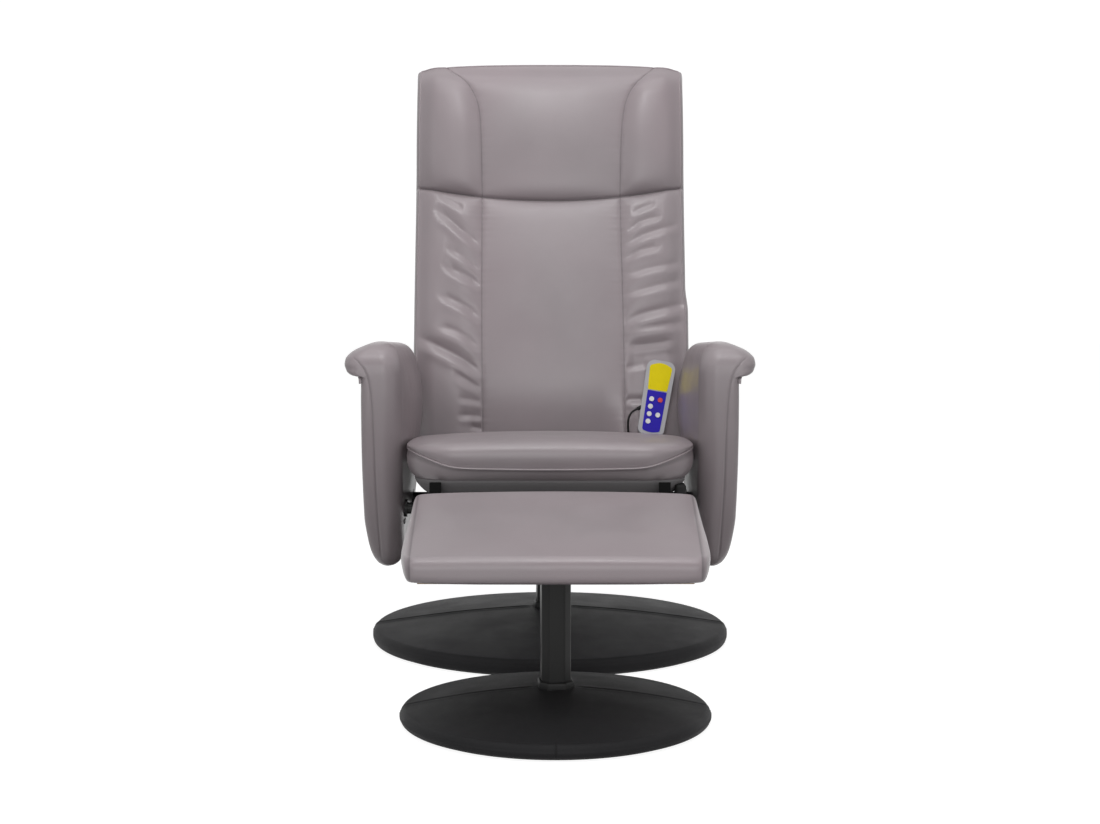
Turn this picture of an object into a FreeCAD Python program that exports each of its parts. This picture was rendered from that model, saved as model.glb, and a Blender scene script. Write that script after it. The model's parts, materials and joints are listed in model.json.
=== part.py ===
"""A massage recliner and its footstool, each on a round upholstered base.

Millimetres. +Z is up and the chair faces -Y. The origin is on the floor, on the chair's swivel axis.
"""
import FreeCAD
import Part
import math
import os

V = FreeCAD.Vector
AXIS_X = V(1, 0, 0)
AXIS_Y = V(0, 1, 0)
AXIS_Z = V(0, 0, 1)

# Clearances that many pieces share
cut_overrun = 2.0
soft_gap = 0.3
press_gap = 0.02
running_gap = 0.05
hole_gap = 0.2
side_gap = 0.5

# Round bases of the chair and the footstool
chair_base_radius = 315.0
chair_shoulder_height = 30.0
chair_apex_height = 60.0
footstool_base_radius = 227.0
footstool_shoulder_height = 24.0
footstool_apex_height = 51.0
footstool_centre_x = 8.0
footstool_centre_y = -583.0
base_foot_thickness = 3.0
base_foot_inset = 14.0
base_board_thickness = 15.0
base_board_inset = 10.0
base_rim_round = 7.0
base_shoulder_inset = 10.0

# Columns, flanges and collars
chair_column_radius = 25.0
footstool_column_radius = 22.5
column_wall = 3.0
flange_radius = 60.0
flange_thickness = 6.0
flange_bolt_circle_radius = 45.0
flange_bolt_count = 4
collar_wall = 2.2
collar_height = 13.0
bolt_radius = 4.0
bolt_head_radius = 6.5
bolt_head_height = 4.0
flange_bolt_depth = 10.0

# Swivel
spindle_radius = 15.0
spindle_end_height = 50.0
bush_length = 22.0
lower_bush_height = 62.0
bush_flange_thickness = 4.0
swivel_plate_half_width = 150.0
swivel_plate_front = -155.0
swivel_plate_rear = 120.0
swivel_plate_thickness = 6.0

# Tubes that carry the arms
arm_tube_radius = 10.0
arm_tube_wall = 2.0
arm_tube_height = 254.0
arm_tube_places = (-130.0, 15.0)
arm_flange_radius = 15.0
arm_flange_thickness = 6.0
arm_screw_radius = 2.5
arm_screw_head_radius = 4.5
arm_screw_head_height = 2.5
arm_screw_depth = 34.0
arm_screw_drop = 22.0
arm_screw_spread = 7.0

# Seat rails and their front brackets
rail_web_inside = 185.0
rail_web_thickness = 4.0
rail_flange_inside = 178.0
rail_flange_outside = 197.0
rail_flange_thickness = 4.0
rail_drop = 16.0
rail_rear = 195.0
bracket_height = 24.0
bracket_thickness = 4.0

# Seat tray, board and cushion
tray_lift = 36.0
tray_height = 28.0
tray_front = -262.0
tray_rear = 140.0
tray_half_width = 225.0
tray_bottom_inset = 20.0
tray_front_round = 95.0
tray_rear_round = 30.0
seat_board_thickness = 12.0
seat_board_inset = 14.0
seat_front = -280.0
seat_rear = 143.0
seat_half_width = 240.0
seat_front_round = 105.0
seat_rear_round = 34.0
seat_height = 54.0
seat_crown_inset = 110.0
seat_rear_slope = 100.0
seat_height_shares = (0, 0.16, 0.48, 0.72, 0.9, 1)
seat_inset_shares = (0.07, 0.01, 0, 0.16, 0.48, 1)
seat_rear_shares = (0.01, 0, 0.03, 0.42, 0.8, 1)
motor_radius = 30.0
motor_height = 24.0
seat_motor_offset = 90.0
seat_motor_place_y = -70.0

# Arms: a board slipped into a padded shield, under a top that rolls outwards
arm_inside = 250.0
arm_outside = 317.0
arm_edge_round = 15.0
arm_edge_depth = 13.0
shield_lap = 8.0
shield_drop = 107.0
shield_front_top = -236.0
shield_front_bottom = -128.0
shield_rear_top = 176.0
shield_rear_bottom = 32.0
shield_top_round = 12.0
shield_bottom_round = 62.0
roll_outside = 340.0
roll_lift = 230.0
roll_height = 56.0
roll_inner_round = 24.0
roll_outer_round = 27.0
roll_root_round = 3.0
roll_front = -243.0
roll_rear = 182.0
roll_end_depth = 14.0
roll_end_inset = 10.0
arm_board_inside = 273.0
arm_board_thickness = 18.0
arm_board_inset = 26.0
arm_board_lift = 21.0
arm_board_cover = 14.0

# Backrest, in a frame that leans with it: X across, Y through to the rear, Z up the back
back_lean_deg = 14.0
back_face_y = 155.7
back_lift = 52.0
back_half_width = 258.0
back_bottom = -26.0
back_top = 706.0
head_seam_height = 468.0
cushion_depth = 70.0
cushion_edge_drop = 12.0
cushion_side_inset = 8.0
cushion_side_front = 22.0
cushion_crown = 13.0
head_crown = 15.0
panel_seam_half_width = 131.0
head_seam_spread = 53.0
head_top_narrowing = 24.0
back_height_shares = (0, 0.1, 0.4, 0.8, 0.96, 1)
back_crown_shares = (0.15, 0.7, 1, 1, 0.75, 0.3)
head_height_shares = (0, 0.06, 0.45, 0.8, 0.94, 1)
head_crown_shares = (0.3, 0.75, 1, 0.9, 0.6, 0.15)
head_spread_shares = (0, 0, 0.02, 0.16, 0.6, 1)
head_narrow_shares = (0, 0, 0, 0.02, 0.25, 1)
back_board_thickness = 15.0
back_board_inset = 8.0
back_board_round = 20.0
shell_depth = 32.0
shell_wall = 4.0
shell_round = 26.0
back_motor_half_spacing = 70.0
back_motor_heights = (150.0, 350.0)

# Recline hinge
pivot_height = -46.0
pivot_depth = 95.0
hinge_eye_radius = 18.0
hinge_plate_thickness = 5.0
hinge_plate_front = 122.0
hinge_plate_drop = 10.0
hinge_neck_share = 0.7
hinge_pin_radius = 6.0
hinge_nut_radius = 10.0
hinge_nut_height = 5.0
hinge_bolt_places = (140.0, 178.0)
hinge_bolt_lift = 12.0
hinge_arm_top = 250.0
hinge_arm_depth = 23.0
hinge_arm_flange_width = 25.0
hinge_arm_flange_thickness = 3.0
hinge_arm_screw_heights = (60.0, 140.0, 220.0)
hinge_arm_screw_radius = 2.5
hinge_arm_screw_depth = 12.0
lock_radius = 17.5
lock_width = 18.0
wire_radius = 2.0
wire_lift_start = 150.0
wire_bend_radius = 60.0

# Recline release
release_y = -165.0
release_lift = 18.0
release_rod_radius = 5.0
release_crank_length = 20.0
release_crank_thickness = 4.0
release_crank_inset = 12.0
lever_hub_radius = 11.0
lever_thickness = 5.0
lever_front = -235.0
lever_rise = 7.0
lever_height = 12.0
lever_tab_reach = 21.0
lever_tab_width = 20.0
lever_tab_thickness = 4.0
grip_inside_gap = 7.0
grip_outside_cover = 4.0
grip_length = 34.0
grip_drop = 4.0
grip_height = 40.0
grip_round = 5.0

# Control box and power inlet in the hollow of the back
control_half_width = 60.0
control_bottom = 60.0
control_height = 80.0
control_depth = 22.0
inlet_radius = 6.0
inlet_flange_radius = 9.0
inlet_flange_thickness = 2.0
inlet_bore_radius = 2.8
inlet_bore_depth = 9.0
inlet_length = 12.0
inlet_height = 24.0

# Hand control, in a frame of its own: X across, Y through to its rear, Z up its length
handset_length = 142.0
handset_tail_half_width = 24.0
handset_head_half_width = 27.0
handset_thickness = 20.0
handset_rear_thickness = 9.0
handset_wall = 2.0
handset_tail_round = 13.0
handset_head_round = 15.0
handset_place_x = 184.8
handset_place_depth = -13.8
handset_place_height = -22.2
handset_tilt_deg = 9.8
circuit_thickness = 1.6
circuit_drop = 8.0
label_thickness = 0.5
label_margin = 5.0
upper_label_bottom = 86.0
upper_label_top = 136.0
lower_label_bottom = 12.0
lower_label_top = 82.0
label_round = 6.0
button_radius = 4.5
button_gap = 0.3
button_proud = 1.6
button_stem = 5.4
button_flange_radius = 5.8
button_flange_thickness = 1.4
button_first_row = 68.0
button_row_pitch = 14.2
button_half_spacing = 8.0
button_cells = ((0, -1), (0, 1), (1, -1), (2, -1), (2, 1), (3, -1))

# Cord of the hand control, its strain relief and its grommet
cord_radius = 2.0
relief_radius = 3.5
relief_reach = 7.0
relief_height = 51.5
relief_depth = 13.0
relief_turn_deg = 35.0
grommet_radius = 4.5
grommet_flange_radius = 8.0
grommet_flange_thickness = 2.0
grommet_depth = 6.0
grommet_place_x = 148.0
grommet_place_depth = 36.0
cord_arc_share = 0.45
cord_points = (
    (154.1, -26.8, 24.6),
    (147.7, -26.3, 16.9),
    (144.8, -24.4, 6.5),
    (144.8, -20.2, -4.8),
    (145.8, -12.5, -14.5),
    (146.5, -4.1, -23.0),
    (147.2, 1.4, -32.5),
    (147.6, 3.0, -40.4),
    (147.8, 7.4, -48.1),
    (148.0, 15.1, -52.5),
    (148.0, 23.9, -52.5),
    (148.0, 31.6, -48.1),
    (148.0, 36.0, -40.4),
    (148.0, 35.85, -30.0),
)

# Footstool column top and pad
footstool_pad_bottom = 230.0
footstool_plate_half_width = 75.0
footstool_plate_thickness = 5.0
footstool_bolt_half_spacing = 55.0
footstool_board_thickness = 15.0
footstool_board_inset = 16.0
footstool_pad_half_width = 215.0
footstool_pad_front = -173.0
footstool_pad_rear = 177.0
footstool_rear_height = 89.0
footstool_front_height = 36.0
footstool_pad_crown = 7.0
footstool_rear_round = 20.0
footstool_front_round = 15.0
footstool_under_round = 9.0
footstool_side_bulge = 9.0

# Values that follow from the ones above
board_top = base_foot_thickness + base_board_thickness
swivel_plate_top = arm_tube_height - arm_tube_radius
swivel_plate_bottom = swivel_plate_top - swivel_plate_thickness
chair_column_top = swivel_plate_bottom - bush_flange_thickness
footstool_column_top = footstool_pad_bottom - footstool_plate_thickness
rail_web_outside = rail_web_inside + rail_web_thickness
hinge_plate_outside = rail_web_outside + hinge_plate_thickness
hinge_arm_inside = hinge_plate_outside + side_gap
hinge_arm_outside = hinge_arm_inside + hinge_plate_thickness
rail_bottom = arm_tube_height - rail_drop
tray_bottom = arm_tube_height + tray_lift
tray_top = tray_bottom + tray_height
roll_bottom = arm_tube_height + roll_lift
roll_top = roll_bottom + roll_height
shield_top = roll_bottom + shield_lap
shield_bottom = arm_tube_height - shield_drop
arm_board_bottom = shield_bottom + arm_board_lift
arm_board_top = shield_top - arm_board_cover
hinge_plate_bottom = arm_tube_height - hinge_plate_drop
hinge_bolt_height = arm_tube_height + hinge_bolt_lift
release_z = arm_tube_height + release_lift
lever_front_z = release_z + lever_rise
grip_bottom = release_z - grip_drop
grip_top = grip_bottom + grip_height
back_face_z = tray_top + back_lift
seat_bottom = tray_top + soft_gap
board_rear = cushion_depth + back_board_thickness
shell_rear = board_rear + shell_depth
half_turn_share = math.sqrt(0.5)
flange_bolt_turn_share = 0.5
back_place = FreeCAD.Placement(V(0, back_face_y, back_face_z), FreeCAD.Rotation(AXIS_X, -back_lean_deg))
pivot = back_place.multVec(V(0, pivot_depth, pivot_height))
handset_place = back_place.multiply(
    FreeCAD.Placement(
        V(handset_place_x, handset_place_depth, handset_place_height),
        FreeCAD.Rotation(AXIS_Y, handset_tilt_deg),
    )
)


def save(node, shape):
    """Write one node, and say if any of its solids is not sound."""
    if not shape.isValid():
        print("not valid:", node)
    shape.exportStep("parts/" + node + ".step")
    print(node, len(shape.Solids), round(shape.Volume))


def placed(shape, placement):
    """The shape moved from its own frame into the chair's."""
    moved = shape.copy()
    moved.Placement = placement.multiply(moved.Placement)
    return moved


def mirrored(shape):
    """The same piece for the other side of the chair."""
    return shape.mirror(V(0, 0, 0), AXIS_X)


def block(x_low, x_high, y_low, y_high, z_low, z_high):
    return Part.makeBox(x_high - x_low, y_high - y_low, z_high - z_low, V(x_low, y_low, z_low))


def rod(radius, start, end):
    run = end - start
    return Part.makeCylinder(radius, run.Length, start, run)


def tube(radius, bore_radius, start, end):
    run = end - start
    spare = V(run)
    spare.normalize()
    spare = spare * cut_overrun
    return rod(radius, start, end).cut(rod(bore_radius, start - spare, end + spare))


def joined(*shapes):
    """One solid made of touching shapes."""
    return shapes[0].fuse(list(shapes[1:])).removeSplitter()


def closed_wire(start, *steps):
    """A closed outline: a step is a point for a line, or a middle and an end point for an arc."""
    edges = []
    here = start
    for step in steps:
        if isinstance(step, tuple):
            edges.append(Part.Arc(here, step[0], step[1]).toShape())
            here = step[1]
        else:
            edges.append(Part.makeLine(here, step))
            here = step
    edges.append(Part.makeLine(here, start))
    return Part.Wire(edges)


def rounded_wire(corners):
    """A closed outline through corner points, each rounded by its own radius."""
    joins = []
    for index, (corner, radius) in enumerate(corners):
        back = corners[index - 1][0] - corner
        ahead = corners[(index + 1) % len(corners)][0] - corner
        half_angle = back.getAngle(ahead) / 2
        back.normalize()
        ahead.normalize()
        middle = back + ahead
        middle.normalize()
        reach = radius / math.tan(half_angle)
        depth = radius / math.sin(half_angle) - radius
        joins.append((corner + back * reach, corner + middle * depth, corner + ahead * reach))
    edges = []
    for index, (start, middle, end) in enumerate(joins):
        edges.append(Part.Arc(start, middle, end).toShape())
        edges.append(Part.makeLine(end, joins[(index + 1) % len(joins)][0]))
    return Part.Wire(edges)


def prism(wire, travel):
    return Part.Face(wire).extrude(travel)


def bolt(head_radius, head_height, shank_radius, shank_length, seat, inward):
    """A bolt whose head stands on its seat and whose shank goes inward."""
    way = V(inward)
    way.normalize()
    head = rod(head_radius, seat - way * head_height, seat)
    return joined(head, rod(shank_radius, seat, seat + way * shank_length))


def base_cover(radius, shoulder, apex, column_radius):
    """Padded cover with a shallow cone on top, hollow over the board and the flange."""
    hole = column_radius + soft_gap
    board_radius = radius - base_board_inset
    hollow_radius = flange_radius + soft_gap
    hollow_top = board_top + flange_thickness + bolt_head_height + soft_gap
    apex_radius = column_radius + collar_wall
    rim_bottom = base_foot_thickness + base_rim_round
    rim_top = shoulder - base_shoulder_inset * half_turn_share
    rim_in = base_rim_round * (1 - half_turn_share)
    shoulder_in = base_shoulder_inset * (1 - half_turn_share)
    shoulder_mid = rim_top + (shoulder - rim_top) * half_turn_share
    outline = closed_wire(
        V(hole, 0, hollow_top),
        V(hollow_radius, 0, hollow_top),
        V(hollow_radius, 0, board_top),
        V(board_radius, 0, board_top),
        V(board_radius, 0, base_foot_thickness),
        V(radius - base_rim_round, 0, base_foot_thickness),
        (V(radius - rim_in, 0, base_foot_thickness + rim_in), V(radius, 0, rim_bottom)),
        V(radius, 0, rim_top),
        (V(radius - shoulder_in, 0, shoulder_mid), V(radius - base_shoulder_inset, 0, shoulder)),
        V(apex_radius, 0, apex),
        V(hole, 0, apex),
    )
    return Part.Face(outline).revolve(V(0, 0, 0), AXIS_Z, 360)


def round_base(prefix, centre, radius, shoulder, apex, column_radius, column_top):
    """The standing base: foot disc, board, cover, bolts, collar and a column with its flange welded on."""
    flange_top = board_top + flange_thickness
    board = rod(radius - base_board_inset, V(0, 0, base_foot_thickness), V(0, 0, board_top))
    bore = column_radius - column_wall
    flange = tube(flange_radius, bore, V(0, 0, board_top), V(0, 0, flange_top))
    column = joined(flange, tube(column_radius, bore, V(0, 0, board_top), V(0, 0, column_top)))
    bolts = []
    for index in range(flange_bolt_count):
        angle = 2 * math.pi * (index + flange_bolt_turn_share) / flange_bolt_count
        reach = flange_bolt_circle_radius
        seat = V(reach * math.cos(angle), reach * math.sin(angle), flange_top)
        shank = flange_thickness + flange_bolt_depth
        bolts.append(bolt(bolt_head_radius, bolt_head_height, bolt_radius, shank, seat, -AXIS_Z))
        hole = rod(bolt_radius + hole_gap, seat - AXIS_Z * shank, seat + AXIS_Z * cut_overrun)
        board = board.cut(hole)
        column = column.cut(hole)
    pieces = {
        "base_foot": rod(radius - base_foot_inset, V(0, 0, 0), V(0, 0, base_foot_thickness)),
        "base_board": board,
        "base_cover": base_cover(radius, shoulder, apex, column_radius),
        "flange_bolts": Part.makeCompound(bolts),
        "column": column,
        "column_collar": tube(
            column_radius + collar_wall,
            column_radius + press_gap,
            V(0, 0, apex),
            V(0, 0, apex + collar_height),
        ),
    }
    for name, shape in pieces.items():
        save(prefix + "_" + name, placed(shape, FreeCAD.Placement(centre, FreeCAD.Rotation())))


def swivel():
    """Bushes in the chair's column, and the spindle and plate that turn in them."""
    outer = chair_column_radius - column_wall - press_gap
    inner = spindle_radius + running_gap
    lower_end = V(0, 0, lower_bush_height + bush_length)
    upper_start = V(0, 0, chair_column_top - bush_length)
    upper_end = V(0, 0, chair_column_top)
    plate_under = V(0, 0, swivel_plate_bottom)
    lower = tube(outer, inner, V(0, 0, lower_bush_height), lower_end)
    sleeve = tube(outer, inner, upper_start, upper_end)
    upper = joined(sleeve, tube(chair_column_radius, inner, upper_end, plate_under))
    save("swivel_bushes", Part.makeCompound([lower, upper]))
    save("spindle", rod(spindle_radius, V(0, 0, spindle_end_height), plate_under))
    half = swivel_plate_half_width
    save(
        "swivel_plate",
        block(-half, half, swivel_plate_front, swivel_plate_rear, swivel_plate_bottom, swivel_plate_top),
    )


def tube_holes(shape):
    """Let the arm tubes pass through a plate."""
    reach = arm_inside
    for place in arm_tube_places:
        ends = [V(side * reach, place, arm_tube_height) for side in (-1, 1)]
        shape = shape.cut(rod(arm_tube_radius + press_gap, ends[0], ends[1]))
    return shape


def release_hole(shape):
    reach = arm_inside
    ends = [V(side * reach, release_y, release_z) for side in (-1, 1)]
    return shape.cut(rod(release_rod_radius + running_gap, ends[0], ends[1]))


def hinge_bolt_holes(shape):
    for place in hinge_bolt_places:
        start = V(rail_flange_inside, place, hinge_bolt_height)
        end = V(rail_flange_outside, place, hinge_bolt_height)
        shape = shape.cut(rod(bolt_radius + hole_gap, start, end))
    return shape


def seat_rails():
    """T-section rails under the seat, with a bracket turned up in front of the tray."""
    front = tray_front - soft_gap - bracket_thickness
    under_flange = tray_bottom - rail_flange_thickness
    web = block(rail_web_inside, rail_web_outside, front, rail_rear, rail_bottom, under_flange)
    flange = block(rail_flange_inside, rail_flange_outside, front, rail_rear, under_flange, tray_bottom)
    bracket_top = tray_bottom + bracket_height
    bracket_rear = front + bracket_thickness
    bracket = block(rail_flange_inside, rail_flange_outside, front, bracket_rear, tray_bottom, bracket_top)
    rail = hinge_bolt_holes(release_hole(tube_holes(joined(web, flange, bracket))))
    save("seat_rails", Part.makeCompound([rail, mirrored(rail)]))


def arm_tubes():
    """Cross tubes with a flange at each end, and the screws under each flange."""
    tubes = []
    screws = []
    bore = arm_tube_radius - arm_tube_wall
    for place in arm_tube_places:
        ends = [V(side * arm_inside, place, arm_tube_height) for side in (-1, 1)]
        welded = [tube(arm_tube_radius, bore, ends[0], ends[1])]
        for side, end in zip((-1, 1), ends):
            welded.append(tube(arm_flange_radius, bore, end - AXIS_X * side * arm_flange_thickness, end))
            for seat in screw_seats(place):
                seat = V(side * seat.x, seat.y, seat.z)
                screws.append(
                    bolt(
                        arm_screw_head_radius,
                        arm_screw_head_height,
                        arm_screw_radius,
                        arm_screw_depth,
                        seat,
                        AXIS_X * side,
                    )
                )
        tubes.append(joined(*welded))
    save("arm_tubes", Part.makeCompound(tubes))
    save("arm_screws", Part.makeCompound(screws))


def screw_seats(place):
    """Where the screws of one tube end enter the right arm's inner face."""
    height = arm_tube_height - arm_screw_drop
    return [V(arm_inside, place + side * arm_screw_spread, height) for side in (-1, 1)]


def shield_wire(x, inset):
    """Side outline of an arm below its roll, drawn in by an inset at the front, rear and bottom."""
    return rounded_wire(
        [
            (V(x, shield_front_top + inset, shield_top), shield_top_round),
            (V(x, shield_rear_top - inset, shield_top), shield_top_round),
            (V(x, shield_rear_bottom - inset, shield_bottom + inset), shield_bottom_round),
            (V(x, shield_front_bottom + inset, shield_bottom + inset), shield_bottom_round),
        ]
    )


def roll_wire(y, inset):
    """Cross-section of the arm's top, which rolls out past the arm's outer face."""
    outer_round = roll_outer_round - inset
    return rounded_wire(
        [
            (V(arm_inside + inset, y, roll_bottom + inset), roll_root_round),
            (V(arm_inside + inset, y, roll_top - inset), roll_inner_round - inset),
            (V(roll_outside - inset, y, roll_top - inset), outer_round),
            (V(roll_outside - inset, y, roll_bottom + inset), outer_round),
        ]
    )


def arm_board_wire(x, bottom):
    """Outline of the arm's board, or of the slot that it slips into when the bottom lies lower."""
    return closed_wire(
        V(x, shield_front_top + arm_board_inset, arm_board_top),
        V(x, shield_rear_top - arm_board_inset, arm_board_top),
        V(x, shield_rear_bottom - arm_board_inset, arm_board_bottom),
        V(x, shield_rear_bottom - arm_board_inset, bottom),
        V(x, shield_front_bottom + arm_board_inset, bottom),
        V(x, shield_front_bottom + arm_board_inset, arm_board_bottom),
    )


def arms():
    """Padded arms with a board inside each."""
    shield = Part.makeLoft(
        [
            shield_wire(arm_inside, arm_edge_depth),
            shield_wire(arm_inside + arm_edge_round, 0),
            shield_wire(arm_outside - arm_edge_round, 0),
            shield_wire(arm_outside, arm_edge_depth),
        ],
        True,
        True,
    )
    roll = Part.makeLoft(
        [
            roll_wire(roll_front, roll_end_inset),
            roll_wire(roll_front + roll_end_depth, 0),
            roll_wire(roll_rear - roll_end_depth, 0),
            roll_wire(roll_rear, roll_end_inset),
        ],
        True,
        True,
    )
    across = AXIS_X * arm_board_thickness
    below = shield_bottom - cut_overrun
    foot = arm_board_bottom - cut_overrun
    slot = prism(arm_board_wire(arm_board_inside, below), across)
    board = prism(arm_board_wire(arm_board_inside, foot), across)
    pad = joined(shield, roll).cut(slot)
    for place in arm_tube_places:
        for seat in screw_seats(place):
            hole_end = seat + AXIS_X * arm_screw_depth
            hole = rod(arm_screw_radius + hole_gap, seat - AXIS_X * cut_overrun, hole_end)
            pad = pad.cut(hole)
            board = board.cut(hole)
    save("right_arm_pad", pad)
    save("left_arm_pad", mirrored(pad))
    save("arm_boards", Part.makeCompound([board, mirrored(board)]))


def plan_wire(half_width, front, rear, front_round, rear_round, height):
    """A seat's outline seen from above, with large front corners."""
    return rounded_wire(
        [
            (V(-half_width, front, height), front_round),
            (V(half_width, front, height), front_round),
            (V(half_width, rear, height), rear_round),
            (V(-half_width, rear, height), rear_round),
        ]
    )


def seat():
    """Tray, board, motors and the crowned cushion, whose sides draw in above and below the piping."""
    low = plan_wire(
        tray_half_width - tray_bottom_inset,
        tray_front + tray_bottom_inset,
        tray_rear,
        tray_front_round,
        tray_rear_round,
        tray_bottom,
    )
    high = plan_wire(tray_half_width, tray_front, tray_rear, tray_front_round, tray_rear_round, tray_top)
    board_wire = plan_wire(
        tray_half_width - seat_board_inset,
        tray_front + seat_board_inset,
        tray_rear - seat_board_inset,
        tray_front_round - seat_board_inset,
        tray_rear_round - seat_board_inset,
        tray_top - seat_board_thickness,
    )
    board = prism(board_wire, AXIS_Z * seat_board_thickness)
    save("seat_tray", Part.makeLoft([low, high], True, True).cut(board))
    save("seat_board", board)
    sections = []
    for height, inset, rear in zip(seat_height_shares, seat_inset_shares, seat_rear_shares):
        inward = seat_crown_inset * inset
        round_left = 1 - inset / 2
        sections.append(
            plan_wire(
                seat_half_width - inward,
                seat_front + inward,
                seat_rear - seat_rear_slope * rear,
                seat_front_round * round_left,
                seat_rear_round,
                seat_bottom + seat_height * height,
            )
        )
    cushion = Part.makeLoft(sections, True, True)
    motors = []
    for side in (-1, 1):
        foot = V(side * seat_motor_offset, seat_motor_place_y, tray_top)
        motors.append(rod(motor_radius, foot, foot + AXIS_Z * motor_height))
        pocket_top = foot + AXIS_Z * (motor_height + soft_gap)
        cushion = cushion.cut(rod(motor_radius + soft_gap, foot, pocket_top))
    save("seat_motors", Part.makeCompound(motors))
    save("seat_cushion", cushion)


def hinge_plates():
    """Plates that carry the recline pivot behind the rails, with their bolts, pins and locks."""
    eye_start = V(rail_web_outside, pivot.y, pivot.z)
    eye_end = V(hinge_plate_outside, pivot.y, pivot.z)
    neck = hinge_eye_radius * hinge_neck_share
    top = tray_bottom - rail_flange_thickness - soft_gap
    outline = closed_wire(
        V(rail_web_outside, hinge_plate_front, hinge_plate_bottom),
        V(rail_web_outside, hinge_plate_front, top),
        V(rail_web_outside, rail_rear + soft_gap, top),
        V(rail_web_outside, pivot.y - neck, pivot.z + neck),
        V(rail_web_outside, pivot.y + neck, pivot.z - neck),
        V(rail_web_outside, rail_rear, hinge_plate_bottom),
    )
    plate = joined(prism(outline, AXIS_X * hinge_plate_thickness), rod(hinge_eye_radius, eye_start, eye_end))
    pin_start = V(rail_web_outside - lock_width / 2, pivot.y, pivot.z)
    pin_end = V(hinge_arm_outside + side_gap, pivot.y, pivot.z)
    plate = plate.cut(rod(hinge_pin_radius + press_gap, pin_start, pin_end))
    plate = hinge_bolt_holes(plate)
    nut = rod(hinge_nut_radius, pin_end, pin_end + AXIS_X * hinge_nut_height)
    pin = joined(rod(hinge_pin_radius, pin_start, pin_end), nut)
    lock = rod(lock_radius, eye_start - AXIS_X * lock_width, eye_start)
    lock = lock.cut(rod(hinge_pin_radius + press_gap, pin_start, pin_end))
    bolts = []
    for place in hinge_bolt_places:
        seat_point = V(hinge_plate_outside, place, hinge_bolt_height)
        shank = hinge_plate_thickness + rail_web_thickness + bolt_head_height
        right = bolt(bolt_head_radius, bolt_head_height, bolt_radius, shank, seat_point, -AXIS_X)
        bolts.extend([right, mirrored(right)])
    save("hinge_plates", Part.makeCompound([plate, mirrored(plate)]))
    save("recline_locks", Part.makeCompound([lock, mirrored(lock)]))
    save("hinge_pins", Part.makeCompound([pin, mirrored(pin)]))
    save("hinge_bolts", Part.makeCompound(bolts))


def lock_wires():
    """Sheathed wires along the rails, from beside the release rod's cranks up to the recline locks."""
    x = rail_flange_inside - wire_radius - soft_gap
    begin = V(x, release_y + release_crank_length * 2, release_z + wire_radius)
    corner = V(x, wire_lift_start, begin.z)
    end = V(x, pivot.y, pivot.z)
    back = begin - corner
    ahead = end - corner
    half_angle = back.getAngle(ahead) / 2
    back.normalize()
    ahead.normalize()
    middle = back + ahead
    middle.normalize()
    reach = wire_bend_radius / math.tan(half_angle)
    depth = wire_bend_radius / math.sin(half_angle) - wire_bend_radius
    bend_start = corner + back * reach
    bend_end = corner + ahead * reach
    bend = Part.Arc(bend_start, corner + middle * depth, bend_end).toShape()
    spine = Part.Wire([Part.makeLine(begin, bend_start), bend, Part.makeLine(bend_end, end)])
    section = Part.Wire([Part.makeCircle(wire_radius, begin, AXIS_Y)])
    wire = spine.makePipeShell([section], True, False)
    wire = wire.cut(rod(lock_radius, V(0, pivot.y, pivot.z), V(rail_web_outside, pivot.y, pivot.z)))
    save("lock_wires", Part.makeCompound([wire, mirrored(wire)]))


def release():
    """Cross rod with two cranks, the lever on its right end and the lever's grip."""
    rod_end = hinge_plate_outside + side_gap
    rod_start = -rail_web_outside - side_gap
    bar = rod(release_rod_radius, V(rod_start, release_y, release_z), V(rod_end, release_y, release_z))
    crank_out = rail_web_inside - release_crank_inset
    cranks = []
    for side in (-1, 1):
        ends = sorted((side * crank_out, side * (crank_out - release_crank_thickness)))
        cranks.append(
            block(
                ends[0],
                ends[1],
                release_y - release_rod_radius,
                release_y + release_rod_radius,
                release_z,
                release_z + release_rod_radius + release_crank_length / 2,
            )
        )
    save("release_rod", joined(bar, *cranks))
    lever_outside = rod_end + lever_thickness
    hub = rod(lever_hub_radius, V(rod_end, release_y, release_z), V(lever_outside, release_y, release_z))
    arm = prism(
        closed_wire(
            V(rod_end, release_y, release_z - lever_height / 2),
            V(rod_end, release_y, release_z + lever_height / 2),
            V(rod_end, lever_front, lever_front_z + lever_height / 2),
            V(rod_end, lever_front, lever_front_z - lever_height / 2),
        ),
        AXIS_X * lever_thickness,
    )
    tab_low = lever_front_z - lever_tab_thickness / 2
    tab = block(
        lever_outside,
        lever_outside + lever_tab_reach,
        lever_front,
        lever_front + lever_tab_width,
        tab_low,
        tab_low + lever_tab_thickness,
    )
    lever = joined(hub, arm, tab)
    save("release_lever", lever)
    grip = block(
        lever_outside + grip_inside_gap,
        lever_outside + lever_tab_reach + grip_outside_cover,
        lever_front - (grip_length - lever_tab_width) / 2,
        lever_front + (grip_length + lever_tab_width) / 2,
        grip_bottom,
        grip_top,
    )
    grip = grip.makeFillet(grip_round, grip.Edges)
    save("lever_grip", grip.cut(lever))


def cushion_wire(height, half_width, seam, seam_depth, crown):
    """Section across a back cushion: three crowned panels between the sewn seams, and drawn-in sides."""
    side = half_width - cushion_side_inset
    waist = seam_depth + cushion_side_front
    side_middle = (seam + side) / 2
    return closed_wire(
        V(-half_width, cushion_depth, height),
        V(-half_width, waist, height),
        V(-side, seam_depth, height),
        (V(-side_middle, seam_depth - crown, height), V(-seam, seam_depth, height)),
        (V(0, seam_depth - crown, height), V(seam, seam_depth, height)),
        (V(side_middle, seam_depth - crown, height), V(side, seam_depth, height)),
        V(half_width, waist, height),
        V(half_width, cushion_depth, height),
    )


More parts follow.
